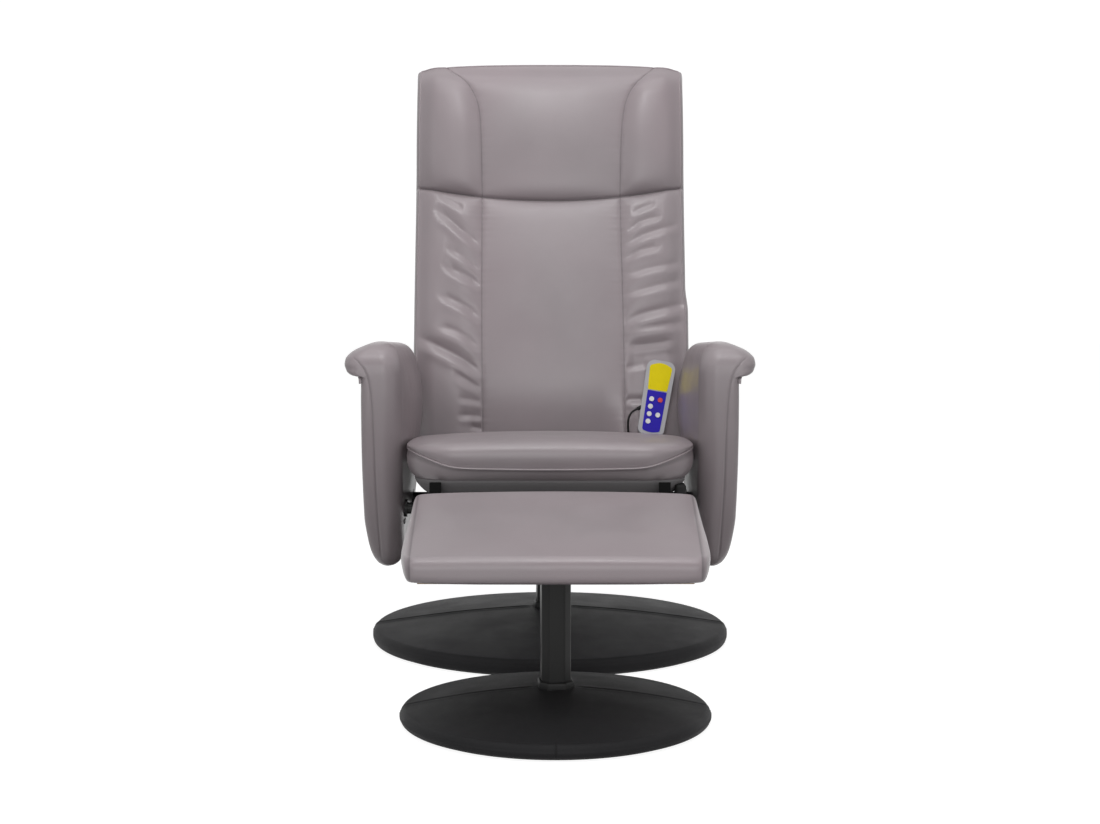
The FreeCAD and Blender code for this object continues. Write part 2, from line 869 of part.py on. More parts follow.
def back_cushions():
    """Back and head cushions, the motors in the back cushion's rear face and the cord's grommet."""
    sections = []
    back_height = head_seam_height - soft_gap - back_bottom
    for height, crown in zip(back_height_shares, back_crown_shares):
        drop = cushion_edge_drop * (1 - crown)
        level = back_bottom + back_height * height
        rise = cushion_crown * crown
        sections.append(cushion_wire(level, back_half_width, panel_seam_half_width, drop, rise))
    cushion = Part.makeLoft(sections, True, True)
    sections = []
    head_height = back_top - head_seam_height
    rows = zip(head_height_shares, head_crown_shares, head_spread_shares, head_narrow_shares)
    for height, crown, spread, narrow in rows:
        half_width = back_half_width - head_top_narrowing * narrow
        seam = panel_seam_half_width + head_seam_spread * spread
        drop = cushion_edge_drop * (1 - crown)
        level = head_seam_height + head_height * height
        sections.append(cushion_wire(level, half_width, seam, drop, head_crown * crown))
    save("head_cushion", placed(Part.makeLoft(sections, True, True), back_place))
    motors = []
    for height in back_motor_heights:
        for side in (-1, 1):
            seat_point = V(side * back_motor_half_spacing, cushion_depth, height)
            motors.append(rod(motor_radius, seat_point - AXIS_Y * motor_height, seat_point))
            pocket_end = seat_point - AXIS_Y * (motor_height + soft_gap)
            cushion = cushion.cut(rod(motor_radius + soft_gap, pocket_end, seat_point + AXIS_Y * cut_overrun))
    save("back_motors", placed(Part.makeCompound(motors), back_place))
    mouth = V(grommet_place_x, grommet_place_depth, back_bottom)
    inner = mouth + AXIS_Z * grommet_depth
    hole_end = inner + AXIS_Z * soft_gap
    cushion = cushion.cut(rod(grommet_radius + press_gap, mouth - AXIS_Z * cut_overrun, hole_end))
    bore = cord_radius + soft_gap
    flange = tube(grommet_flange_radius, bore, mouth - AXIS_Z * grommet_flange_thickness, mouth)
    save("cord_grommet", placed(joined(flange, tube(grommet_radius, bore, mouth, inner)), back_place))
    save("back_cushion", placed(cushion, back_place))


def panel_wire(inset, corner_round, depth):
    """Outline of the back, drawn in by an inset, at a depth behind its face."""
    half = back_half_width - inset
    return rounded_wire(
        [
            (V(-half, depth, back_bottom + inset), corner_round),
            (V(half, depth, back_bottom + inset), corner_round),
            (V(half, depth, back_top - inset), corner_round),
            (V(-half, depth, back_top - inset), corner_round),
        ]
    )


def arm_screw_points():
    """Where the hinge arm's screws enter the rear of the back board, on the right side."""
    x = hinge_arm_outside - (hinge_arm_flange_width + hinge_plate_thickness) / 2
    return [V(x, board_rear + hinge_arm_flange_thickness, height) for height in hinge_arm_screw_heights]


def back_frame():
    """Back board, hinge arms on its rear and the hollow rear shell over them."""
    board = prism(panel_wire(back_board_inset, back_board_round, cushion_depth), AXIS_Y * back_board_thickness)
    outer = prism(panel_wire(0, shell_round, board_rear), AXIS_Y * shell_depth)
    hollow_depth = shell_depth - shell_wall + cut_overrun
    hollow_start = board_rear - cut_overrun
    inner = prism(panel_wire(shell_wall, shell_round - shell_wall, hollow_start), AXIS_Y * hollow_depth)
    shell = outer.cut(inner)
    front = board_rear
    rear = board_rear + hinge_arm_depth
    web = block(hinge_arm_inside, hinge_arm_outside, front, rear, pivot_height, hinge_arm_top)
    flange_inside = hinge_arm_outside - hinge_arm_flange_width
    flange_rear = front + hinge_arm_flange_thickness
    flange = block(flange_inside, hinge_arm_outside, front, flange_rear, 0, hinge_arm_top)
    eye = rod(
        hinge_eye_radius,
        V(hinge_arm_inside, pivot_depth, pivot_height),
        V(hinge_arm_outside, pivot_depth, pivot_height),
    )
    arm = joined(web, flange, eye).cut(
        rod(
            hinge_pin_radius + running_gap,
            V(flange_inside, pivot_depth, pivot_height),
            V(hinge_arm_outside + cut_overrun, pivot_depth, pivot_height),
        )
    )
    slot = block(
        hinge_arm_inside - side_gap,
        hinge_arm_outside + side_gap,
        front - cut_overrun,
        rear + side_gap,
        back_bottom - cut_overrun,
        back_bottom + shell_wall + cut_overrun,
    )
    shell = shell.cut(slot).cut(mirrored(slot))
    screws = []
    for point in arm_screw_points():
        screw = bolt(
            arm_screw_head_radius,
            arm_screw_head_height,
            hinge_arm_screw_radius,
            hinge_arm_screw_depth,
            point,
            -AXIS_Y,
        )
        hole = rod(hinge_arm_screw_radius + hole_gap, point - AXIS_Y * hinge_arm_screw_depth, point)
        screws.extend([screw, mirrored(screw)])
        arm = arm.cut(hole)
        board = board.cut(hole).cut(mirrored(hole))
    inlet_end = V(0, shell_rear, inlet_height)
    shell = shell.cut(rod(inlet_radius + press_gap, inlet_end - AXIS_Y * inlet_length, inlet_end))
    save("back_board", placed(board, back_place))
    save("rear_shell", placed(shell, back_place))
    save("hinge_arms", placed(Part.makeCompound([arm, mirrored(arm)]), back_place))
    save("hinge_arm_screws", placed(Part.makeCompound(screws), back_place))


def control():
    """Control box on the back board and the power inlet in the rear shell."""
    box = block(
        -control_half_width,
        control_half_width,
        board_rear,
        board_rear + control_depth,
        control_bottom,
        control_bottom + control_height,
    )
    save("control_box", placed(box, back_place))
    outside = V(0, shell_rear, inlet_height)
    barrel = rod(inlet_radius, outside - AXIS_Y * inlet_length, outside)
    proud = outside + AXIS_Y * inlet_flange_thickness
    inlet = joined(barrel, rod(inlet_flange_radius, outside, proud))
    inlet = inlet.cut(rod(inlet_bore_radius, proud - AXIS_Y * inlet_bore_depth, proud + AXIS_Y * cut_overrun))
    save("power_inlet", placed(inlet, back_place))


def handset_wire(inset, depth):
    """Outline of the hand control, wider at its head."""
    tail = handset_tail_half_width - inset
    head = handset_head_half_width - inset
    top = handset_length - inset
    return rounded_wire(
        [
            (V(-tail, depth, inset), handset_tail_round - inset),
            (V(tail, depth, inset), handset_tail_round - inset),
            (V(head, depth, top), handset_head_round - inset),
            (V(-head, depth, top), handset_head_round - inset),
        ]
    )


def label_plate(bottom, top):
    """A thin plate on the front of the hand control."""
    half = handset_tail_half_width - label_margin
    wire = rounded_wire(
        [
            (V(-half, -handset_thickness, bottom), label_round),
            (V(half, -handset_thickness, bottom), label_round),
            (V(half, -handset_thickness, top), label_round),
            (V(-half, -handset_thickness, top), label_round),
        ]
    )
    return prism(wire, -AXIS_Y * label_thickness)


def handset():
    """Hand control: two shells, circuit board, label plates and six buttons."""
    split = -handset_rear_thickness
    rear = prism(handset_wire(0, split), AXIS_Y * handset_rear_thickness)
    rear_hollow = AXIS_Y * (handset_rear_thickness - handset_wall)
    rear = rear.cut(prism(handset_wire(handset_wall, split), rear_hollow))
    front_thickness = handset_thickness - handset_rear_thickness
    front = prism(handset_wire(0, split), -AXIS_Y * front_thickness)
    front = front.cut(prism(handset_wire(handset_wall, split), -AXIS_Y * (front_thickness - handset_wall)))
    circuit_front = circuit_drop - handset_thickness
    circuit = prism(handset_wire(handset_wall + soft_gap, circuit_front), AXIS_Y * circuit_thickness)
    upper = label_plate(upper_label_bottom, upper_label_top)
    lower = label_plate(lower_label_bottom, lower_label_top)
    for index, (row, column) in enumerate(button_cells):
        x = column * button_half_spacing
        z = button_first_row - row * button_row_pitch
        outside = V(x, -handset_thickness - button_proud, z)
        inside = V(x, -handset_thickness + button_stem, z)
        flange_start = inside - AXIS_Y * button_flange_thickness
        button = joined(rod(button_radius, outside, inside), rod(button_flange_radius, flange_start, inside))
        hole = rod(button_radius + button_gap, outside, inside)
        front = front.cut(hole)
        lower = lower.cut(hole)
        save("handset_button_" + str(index + 1), placed(button, handset_place))
    side = handset_tail_half_width + (handset_head_half_width - handset_tail_half_width) * (
        relief_height / handset_length
    )
    turn = math.radians(relief_turn_deg)
    way = V(-math.cos(turn), 0, -math.sin(turn))
    inner_end = V(handset_wall - side, -relief_depth, relief_height)
    outer_end = inner_end + way * (handset_wall + relief_reach)
    front = front.cut(rod(relief_radius + press_gap, inner_end - way * relief_radius, outer_end))
    circuit = circuit.cut(rod(relief_radius + press_gap, inner_end - way * relief_radius, outer_end))
    save("cord_relief", placed(rod(relief_radius, inner_end, outer_end), handset_place))
    save("handset_front_shell", placed(front, handset_place))
    save("handset_rear_shell", placed(rear, handset_place))
    save("handset_circuit", placed(circuit, handset_place))
    save("handset_upper_label", placed(upper, handset_place))
    save("handset_lower_label", placed(lower, handset_place))
    return handset_place.multVec(outer_end)


def cord(start):
    """The cord: out of its strain relief, down into the crevice and up into the grommet."""
    local_start = back_place.inverse().multVec(start)
    end = V(grommet_place_x, grommet_place_depth, back_bottom)
    route = [
        local_start,
        *[V(*point) for point in cord_points],
        end + AXIS_Z * grommet_depth,
    ]
    points = [back_place.multVec(point) for point in route]
    edges = []
    here = points[0]
    radii = []
    for before, corner, after in zip(points, points[1:], points[2:]):
        back = before - corner
        ahead = after - corner
        half_angle = back.getAngle(ahead) / 2
        reach = min(back.Length, ahead.Length) * cord_arc_share
        radius = reach * math.tan(half_angle)
        back.normalize()
        ahead.normalize()
        middle = back + ahead
        middle.normalize()
        arc_start = corner + back * reach
        arc_middle = corner + middle * (radius / math.sin(half_angle) - radius)
        arc_end = corner + ahead * reach
        edges.append(Part.makeLine(here, arc_start))
        edges.append(Part.Arc(arc_start, arc_middle, arc_end).toShape())
        here = arc_end
        radii.append(round(radius / cord_radius / 2, 1))
    edges.append(Part.makeLine(here, points[-1]))
    spine = Part.Wire(edges)
    section = Part.Wire([Part.makeCircle(cord_radius, points[0], points[1] - points[0])])
    solid = spine.makePipeShell([section], True, False)
    plain_volume = math.pi * cord_radius**2 * spine.Length
    print("cord radii in diameters", radii)
    print("cord length", round(spine.Length, 1), "volume share", round(solid.Volume / plain_volume, 4))
    save("handset_cord", solid)


def footstool_wire(x, share, lift):
    """Side outline of the footstool pad, drawn in by a share of its bulge and crowned by a lift."""
    inset = footstool_side_bulge * share
    bottom = footstool_pad_bottom
    front = footstool_pad_front + inset
    rear = footstool_pad_rear - inset
    front_top = bottom + footstool_front_height - inset + lift
    rear_top = bottom + footstool_rear_height - inset + lift
    return rounded_wire(
        [
            (V(x, front, bottom), footstool_under_round),
            (V(x, rear, bottom), footstool_under_round),
            (V(x, rear, rear_top), footstool_rear_round),
            (V(x, front, front_top), footstool_front_round),
        ]
    )


def footstool_top():
    """Plate, bolts, board and wedge-shaped pad on the footstool's column."""
    centre = FreeCAD.Placement(V(footstool_centre_x, footstool_centre_y, 0), FreeCAD.Rotation())
    half = footstool_plate_half_width
    under = footstool_column_top
    plate = block(-half, half, -half, half, under, footstool_pad_bottom)
    board_half = footstool_pad_half_width - footstool_side_bulge - footstool_board_inset
    board = block(
        -board_half,
        board_half,
        footstool_pad_front + footstool_board_inset,
        footstool_pad_rear - footstool_board_inset,
        footstool_pad_bottom,
        footstool_pad_bottom + footstool_board_thickness,
    )
    bolts = []
    seam = footstool_pad_half_width - footstool_side_bulge
    wires = [
        footstool_wire(-footstool_pad_half_width, 1, 0),
        footstool_wire(-seam, 0, 0),
        footstool_wire(0, 0, footstool_pad_crown),
        footstool_wire(seam, 0, 0),
        footstool_wire(footstool_pad_half_width, 1, 0),
    ]
    pad = Part.makeLoft(wires, True, True).cut(board)
    for x_side in (-1, 1):
        for y_side in (-1, 1):
            reach = footstool_bolt_half_spacing
            seat_point = V(x_side * reach, y_side * reach, under)
            shank = footstool_plate_thickness + flange_bolt_depth
            bolts.append(bolt(bolt_head_radius, bolt_head_height, bolt_radius, shank, seat_point, AXIS_Z))
            hole = rod(bolt_radius + hole_gap, seat_point - AXIS_Z * cut_overrun, seat_point + AXIS_Z * shank)
            plate = plate.cut(hole)
            board = board.cut(hole)
    save("footstool_top_plate", placed(plate, centre))
    save("footstool_plate_bolts", placed(Part.makeCompound(bolts), centre))
    save("footstool_board", placed(board, centre))
    save("footstool_cushion", placed(pad, centre))


os.makedirs("parts", exist_ok=True)
round_base(
    "chair",
    V(0, 0, 0),
    chair_base_radius,
    chair_shoulder_height,
    chair_apex_height,
    chair_column_radius,
    chair_column_top,
)
round_base(
    "footstool",
    V(footstool_centre_x, footstool_centre_y, 0),
    footstool_base_radius,
    footstool_shoulder_height,
    footstool_apex_height,
    footstool_column_radius,
    footstool_column_top,
)
swivel()
seat_rails()
arm_tubes()
arms()
seat()
hinge_plates()
lock_wires()
release()
back_frame()
back_cushions()
control()
cord(handset())
footstool_top()
print("recline axis", round(pivot.y, 3), round(pivot.z, 3))
print("release axis", release_y, release_z)
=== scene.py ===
"""Looks of the massage recliner and its footstool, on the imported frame. Metres, +Z up, the chair faces -Y."""
import json
import math

import bmesh
import bpy
import numpy as np
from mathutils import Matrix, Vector
from mathutils.geometry import tessellate_polygon


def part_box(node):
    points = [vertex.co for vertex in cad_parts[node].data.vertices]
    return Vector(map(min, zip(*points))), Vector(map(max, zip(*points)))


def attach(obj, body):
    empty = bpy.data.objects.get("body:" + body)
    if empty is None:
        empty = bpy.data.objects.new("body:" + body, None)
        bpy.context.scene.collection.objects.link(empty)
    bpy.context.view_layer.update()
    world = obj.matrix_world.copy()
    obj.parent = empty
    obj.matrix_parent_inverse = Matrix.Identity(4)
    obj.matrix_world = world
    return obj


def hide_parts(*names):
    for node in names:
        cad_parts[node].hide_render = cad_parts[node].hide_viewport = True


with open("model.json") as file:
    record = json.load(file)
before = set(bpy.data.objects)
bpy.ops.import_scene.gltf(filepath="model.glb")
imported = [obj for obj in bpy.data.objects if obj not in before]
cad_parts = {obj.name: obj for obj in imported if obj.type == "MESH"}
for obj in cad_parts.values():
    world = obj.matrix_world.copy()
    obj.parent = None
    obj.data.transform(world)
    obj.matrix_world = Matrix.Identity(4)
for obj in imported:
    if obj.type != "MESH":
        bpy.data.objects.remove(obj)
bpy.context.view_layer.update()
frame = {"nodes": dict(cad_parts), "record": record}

nodes = frame["nodes"]
slot_of = {part["node"]: part["material_slot"] for part in frame["record"]["subparts"]}

# Camera, from the photograph's frame of 1100 by 824
FRAME_WIDTH_PX = 1100
FOCAL_PX = 1765
CAMERA_PLACE = (0, -3.131, 0.6525)
CAMERA_PITCH_DEG = 4.45
SENSOR_WIDTH_MM = 36

# Backrest: u across, w through to the rear, v up the back
BACK_LEAN = math.radians(14)
BACK_FACE_Y = 0.1557
BACK_FACE_Z = 0.37
BACK_BOTTOM = -0.026
BACK_TOP = 0.713
BACK_EDGE = 0.2505
BACK_BULGE = 0.008
BACK_SKIRT = 0.015
HAND_CONTROL_REAR = -0.0134
BOARD_FRONT = 0.0697
BOARD_REAR = 0.0847
BOARD_LIP = 0.0065
SHELL_REAR = 0.117

# Seat
SEAT_HALF_WIDTH = 0.236
SEAT_FRONT = -0.276
SEAT_REAR = 0.143
SEAT_FRONT_ROUND = 0.08
SEAT_REAR_ROUND = 0.034
SEAT_BOTTOM = 0.3186
SEAT_LIP = 0.3155

# Footstool, and where both columns stand
CHAIR_PLACE = (0, 0)
STOOL_PLACE = (0.008, -0.583)
STOOL_BOTTOM = 0.23
STOOL_FRONT = -0.173
STOOL_REAR = 0.177

# Radii of the tubes sewn along the edges
WELT_RADIUS = 0.0017
REAR_PIPING_RADIUS = 0.0018
ARM_WELT_RADIUS = 0.0022


# Shape helpers


def mm(*rows):
    """A table of millimetres, in metres."""
    return np.array(rows, float) / 1000


def ease(value, low, high):
    """Smooth step from 0 to 1 between two values."""
    share = np.clip((value - low) / (high - low), 0, 1)
    return share * share * (3 - 2 * share)


def ridge(distance, width):
    """A soft ridge, 1 on its line and falling off over a width."""
    return np.exp(-((distance / width) ** 2))


def through(value, table):
    """A smooth line through a table of (place, amount) pairs, without overshoot."""
    places, amounts = np.array(table, float).T
    steps = np.diff(places)
    slopes = np.diff(amounts) / steps
    same = slopes[:-1] * slopes[1:] > 0
    mean = 2 * slopes[:-1] * slopes[1:] / np.where(same, slopes[:-1] + slopes[1:], 1)
    tangents = np.hstack([slopes[:1], np.where(same, mean, 0), slopes[-1:]])
    value = np.clip(value, places[0], places[-1])
    index = np.clip(np.searchsorted(places, value, side="right") - 1, 0, len(steps) - 1)
    t = (value - places[index]) / steps[index]
    rest = 1 - t
    rise = steps[index] * t * rest
    start = amounts[index] * (1 + 2 * t) * rest + tangents[index] * rise
    end = amounts[index + 1] * (3 - 2 * t) * t - tangents[index + 1] * rise
    return start * rest + end * t


def smoothed(ring, passes):
    """Values round a closed ring, blended some times with their neighbours."""
    for _ in range(passes):
        ring = (np.roll(ring, 1, axis=0) + 2 * ring + np.roll(ring, -1, axis=0)) / 4
    return ring


def arc(x, y, across, along, start, end, steps):
    """Points on part of an ellipse, between two angles in degrees."""
    angles = np.radians(np.linspace(start, end, steps))
    return [(x + across * math.cos(angle), y + along * math.sin(angle)) for angle in angles]


def circle(count):
    """Evenly spaced points on a circle of radius 1."""
    turns = np.linspace(0, 2 * math.pi, count, endpoint=False)
    return np.column_stack([np.cos(turns), np.sin(turns)])


def evenly(line, count):
    """Evenly spaced points along a line that comes back to its start."""
    line = np.array(line)
    length = np.hstack([[0], np.cumsum(np.hypot(*np.diff(line, axis=0).T))])
    places = np.linspace(0, length[-1], count, endpoint=False)
    return np.stack([np.interp(places, length, line[:, axis]) for axis in (0, 1)], axis=1)


def level(plan, height):
    """Points over a plan, all at one height or each at its own."""
    return np.column_stack([plan, np.broadcast_to(height, len(plan))])


def rim_normals(loop):
    """Outward directions along a closed plane loop that runs anticlockwise."""
    ahead = np.roll(loop, -1, axis=0) - np.roll(loop, 1, axis=0)
    normal = smoothed(np.stack([ahead[:, 1], -ahead[:, 0]], axis=1), 6)
    return normal / np.linalg.norm(normal, axis=1)[:, None]


def unit(way):
    return way / np.linalg.norm(way)


def round_corners(corners, steps=14):
    """A closed line round corners (x, y, radius), each an arc of some steps."""
    line = []
    for index, (x, y, radius) in enumerate(corners):
        here = np.array([x, y])
        before = unit(np.array(corners[index - 1][:2]) - here)
        after = unit(np.array(corners[(index + 1) % len(corners)][:2]) - here)
        half = math.acos(np.clip(before @ after, -1, 1)) / 2
        reach = radius / math.tan(half)
        centre = here + unit(before + after) * radius / math.sin(half)
        first, last = here + before * reach - centre, here + after * reach - centre
        turn = math.pi - 2 * half
        for share in np.linspace(0, 1, steps):
            spot = (math.sin((1 - share) * turn) * first + math.sin(share * turn) * last) / math.sin(turn)
            line.append(centre + spot)
    return np.array(line)


def spread(count):
    """Shares from 0 to 1 that crowd together towards both ends."""
    even = np.linspace(0, 1, count)
    return 0.45 * even + 0.55 * 0.5 * (1 - np.cos(math.pi * even))


# Faces of meshes


def grid_faces(rows, columns):
    """Quads over a grid of points numbered row by row."""
    corners = (row * columns + column for row in range(rows - 1) for column in range(columns - 1))
    return [(here, here + 1, here + 1 + columns, here + columns) for here in corners]


def perimeter(rows, columns):
    """Numbers of a grid's outer points, once round."""
    right = range(2 * columns - 1, rows * columns, columns)
    top = range(rows * columns - 2, (rows - 1) * columns - 1, -1)
    left = range((rows - 2) * columns, 0, -columns)
    return [*range(columns), *right, *top, *left]


def shifted(faces, start):
    """Faces whose points are numbered further on."""
    return [tuple(number + start for number in face) for face in faces]


def band(first, second):
    """Quads between two closed loops of point numbers."""
    return list(zip(first, first[1:] + first[:1], second[1:] + second[:1], second))


def lofted(rings, caps=True):
    """Points and faces of closed rings one after the other, with flat caps on both ends."""
    count = len(rings[0])
    loops = [list(range(start, start + count)) for start in range(0, count * len(rings), count)]
    faces = [face for pair in zip(loops, loops[1:]) for face in band(*pair)]
    if caps:
        faces += [tuple(loops[0]), tuple(loops[-1])]
    return np.vstack(rings), faces


# Pieces


def link(name, data):
    """A scene object for a mesh, a curve, a lamp or a camera."""
    item = bpy.data.objects.new(name, data)
    bpy.context.scene.collection.objects.link(item)
    return item


def add_piece(name, data, body, slot, replaced):
    """A mesh or curve that rides on a body and stands for the replaced nodes."""
    data.materials.append(materials[slot])
    piece = link(name, data)
    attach(piece, body)
    if replaced:
        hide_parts(*replaced)
    return piece


def add_mesh(name, points, faces, body, *replaced, slot="upholstery", shade=None, smooth=True):
    """A mesh piece with its faces turned outward, and a painted shade value at each point for its seams."""
    mesh = bpy.data.meshes.new(name)
    mesh.from_pydata(np.asarray(points).tolist(), [], faces)
    mesh.polygons.foreach_set("use_smooth", [smooth] * len(mesh.polygons))
    # Painted shade: the seam attribute darkens the surface in seam grooves and under overhangs.
    layer = mesh.attributes.new("seam", "FLOAT", "POINT")
    layer.data.foreach_set("value", np.zeros(len(points)) if shade is None else shade)
    work = bmesh.new()
    work.from_mesh(mesh)
    bmesh.ops.recalc_face_normals(work, faces=work.faces)
    work.to_mesh(mesh)
    work.free()
    return add_piece(name, mesh, body, slot, replaced)


def add_tube(name, points, radius, body, *replaced, slot="upholstery", closed=False, kind="POLY", facets=3):
    """A welt or cord: a round tube along a line of points."""
    curve = bpy.data.curves.new(name, "CURVE")
    curve.dimensions = "3D"
    curve.bevel_depth = radius
    curve.bevel_resolution = facets
    curve.use_fill_caps = True
    spline = curve.splines.new(kind)
    spline.points.add(len(points) - 1)
    for spot, point in zip(spline.points, points):
        spot.co = (*map(float, point), 1)
    spline.order_u = 3
    spline.use_endpoint_u = True
    spline.use_cyclic_u = closed
    return add_piece(name, curve, body, slot, replaced)


# Materials

NOISE_ROUGHNESS = 0.55
# Sockets of the node that blends colours
MIX_FACTOR, MIX_FIRST, MIX_SECOND, MIX_RESULT = 0, 6, 7, 2


def set_inputs(tree, node, inputs):
    """Set a node's inputs to values, or link them to other nodes' sockets."""
    for name, value in inputs.items():
        if isinstance(value, bpy.types.NodeSocket):
            tree.links.new(value, node.inputs[name])
        else:
            node.inputs[name].default_value = value


def add_node(tree, kind, inputs):
    node = tree.nodes.new(kind)
    set_inputs(tree, node, inputs)
    return node


def math_node(tree, operation, *values):
    node = tree.nodes.new("ShaderNodeMath")
    node.operation = operation
    set_inputs(tree, node, dict(enumerate(values)))
    return node.outputs[0]


def coordinates(tree, stretch=(1, 1, 1)):
    place = tree.nodes.new("ShaderNodeTexCoord").outputs["Object"]
    return add_node(tree, "ShaderNodeMapping", {"Vector": place, "Scale": stretch}).outputs["Vector"]


def noise(tree, where, scale, detail):
    inputs = {"Vector": where, "Scale": scale, "Detail": detail, "Roughness": NOISE_ROUGHNESS}
    return add_node(tree, "ShaderNodeTexNoise", inputs).outputs["Fac"]


def span(tree, value, low=0, high=1, start=0.3, end=0.7):
    """Map a texture's middle range to a span of values."""
    inputs = {"Value": value, "From Min": start, "From Max": end, "To Min": low, "To Max": high}
    return add_node(tree, "ShaderNodeMapRange", inputs).outputs["Result"]


def mix_colours(tree, factor, first, second):
    """Blend two colours, each a tuple or a socket, by a factor."""
    first, second = ((*colour, 1) if isinstance(colour, tuple) else colour for colour in (first, second))
    node = tree.nodes.new("ShaderNodeMix")
    node.data_type = "RGBA"
    set_inputs(tree, node, {MIX_FACTOR: factor, MIX_FIRST: first, MIX_SECOND: second})
    return node.outputs[MIX_RESULT]


def patchy(tree, factor, colour, darkest):
    """A colour that falls to a share of itself where a factor is low."""
    return mix_colours(tree, factor, tuple(part * darkest for part in colour), colour)


def bump(tree, height, strength, distance):
    inputs = {"Height": height, "Strength": strength, "Distance": distance}
    return add_node(tree, "ShaderNodeBump", inputs).outputs["Normal"]


def leather(tree, colour, dark, roughness, specular, grain_scale, grain_strength):
    """Coated upholstery leather: pebbled grain, faint mottling, and painted shade along its seams and grooves.
    """
    where = coordinates(tree)
    inputs = {"Vector": where, "Scale": grain_scale, "Randomness": 0.9}
    cells = add_node(tree, "ShaderNodeTexVoronoi", inputs)
    cells.feature = "DISTANCE_TO_EDGE"
    pebbles = span(tree, cells.outputs["Distance"], 0, 1, 0, 0.35)
    grain = math_node(tree, "MULTIPLY_ADD", noise(tree, where, grain_scale * 0.45, 4), 0.8, pebbles)
    mottle = noise(tree, where, 14, 3)
    cloud = noise(tree, where, 3.2, 2)
    tone = patchy(tree, span(tree, mottle), colour, 0.93)
    warm = (colour[0] * 1.03, colour[1] * 0.965, colour[2] * 0.985)
    tone = mix_colours(tree, span(tree, cloud, 0, 0.8), tone, warm)
    # The seam attribute holds painted shade: the tone is blended towards the dark colour in seam grooves, under
    # lips and below welts.
    seam = tree.nodes.new("ShaderNodeAttribute")
    seam.attribute_name = "seam"
    return {
        "Base Color": mix_colours(tree, seam.outputs["Fac"], tone, dark),
        "Roughness": span(tree, mottle, roughness - 0.05, roughness + 0.05),
        "Specular IOR Level": specular,
        "Normal": bump(tree, grain, grain_strength, 0.0004),
    }


def painted(tree, colour, roughness, scale, strength, specular=0.5):
    """Painted or moulded surface: fine orange peel, slightly uneven gloss and tone."""
    where = coordinates(tree)
    patches = noise(tree, where, 22, 3)
    return {
        "Base Color": patchy(tree, span(tree, patches), colour, 0.86),
        "Roughness": span(tree, patches, roughness - 0.05, roughness + 0.06),
        "Specular IOR Level": specular,
        "Normal": bump(tree, noise(tree, where, scale, 2), strength, 0.0002),
    }


def brushed(tree, colour):
    """Zinc-plated steel with fine streaks."""
    streaks = noise(tree, coordinates(tree, (1, 1, 14)), 160, 4)
    return {
        "Base Color": patchy(tree, span(tree, streaks), colour, 0.8),
        "Roughness": span(tree, streaks, 0.28, 0.45),
        "Metallic": 1,
        "Normal": bump(tree, streaks, 0.1, 0.0001),
    }


def wood(tree, light, dark):
    """Plain ply: long grain and pores."""
    grain = noise(tree, coordinates(tree, (1.5, 22, 22)), 9, 6)
    return {
        "Base Color": mix_colours(tree, span(tree, grain), dark, light),
        "Roughness": 0.7,
        "Normal": bump(tree, grain, 0.2, 0.0004),
    }


def cloth(tree, colour, thread):
    """Cover cloth with a plain weave."""
    where = coordinates(tree)
    threads = []
    for direction in ("X", "Y"):
        wave = add_node(tree, "ShaderNodeTexWave", {"Vector": where, "Scale": thread, "Distortion": 0.6})
        wave.bands_direction = direction
        threads.append(wave.outputs["Fac"])
    weave = math_node(tree, "ADD", *threads)
    return {
        "Base Color": patchy(tree, span(tree, weave, 0, 1, 0, 2), colour, 0.7),
        "Roughness": 0.85,
        "Specular IOR Level": 0.2,
        "Normal": bump(tree, weave, 0.3, 0.0003),
    }


def new_material(name):
    material = bpy.data.materials.new(name)
    material.use_nodes = True
    return material


def made(name, recipe, *values, **more):
    """A material whose main shader's inputs come from one of the recipes above."""
    material = new_material(name)
    tree = material.node_tree
    set_inputs(tree, tree.nodes["Principled BSDF"], recipe(tree, *values, **more))
    return material


materials = {
    # Leathers: colour, painted shade colour for seams and grooves, roughness, gloss, grain scale and grain
    # strength
    "upholstery": made(
        "leather_grey", leather, (0.285, 0.252, 0.264), (0.09, 0.078, 0.083), 0.34, 0.42, 620, 0.14
    ),
    "base_leather": made("leather_black", leather, (0.012, 0.012, 0.013), (0.003,) * 3, 0.6, 0.14, 560, 0.3),
    "satin_black": made("satin_black_paint", painted, (0.016,) * 3, 0.34, 1600, 0.03, specular=0.16),
    "steel": made("zinc_steel", brushed, (0.55, 0.55, 0.56)),
    "board": made("ply_board", wood, (0.46, 0.33, 0.19), (0.3, 0.19, 0.1)),
    "rubber": made("rubber_black", painted, (0.011,) * 3, 0.62, 1200, 0.2, specular=0.2),
    "black_plastic": made("plastic_black", painted, (0.013,) * 3, 0.48, 1400, 0.15, specular=0.2),
    "tray": made("cover_cloth", cloth, (0.24, 0.23, 0.235), 420),
    "handset_grey": made("plastic_grey", painted, (0.4, 0.4, 0.42), 0.45, 2400, 0.2),
    "circuit_green": made("circuit_lacquer", painted, (0.02, 0.12, 0.04), 0.3, 800, 0.05),
    "label_yellow": made("film_yellow", painted, (0.8, 0.66, 0.004), 0.5, 1500, 0.04, specular=0.12),
    "label_blue": made("film_blue", painted, (0.03, 0.018, 0.42), 0.5, 1500, 0.04, specular=0.12),
    "button_white": made("button_white", painted, (0.78, 0.78, 0.77), 0.4, 1800, 0.06),
    "button_red": made("button_red", painted, (0.62, 0.03, 0.04), 0.4, 1800, 0.06),
}
rail_black = made("rail_black_paint", painted, (0.007,) * 3, 0.6, 1600, 0.03, specular=0.06)
for node, piece in nodes.items():
    piece.data.materials.clear()
    piece.data.materials.append(rail_black if node == "seat_rails" else materials[slot_of[node]])


# Camera

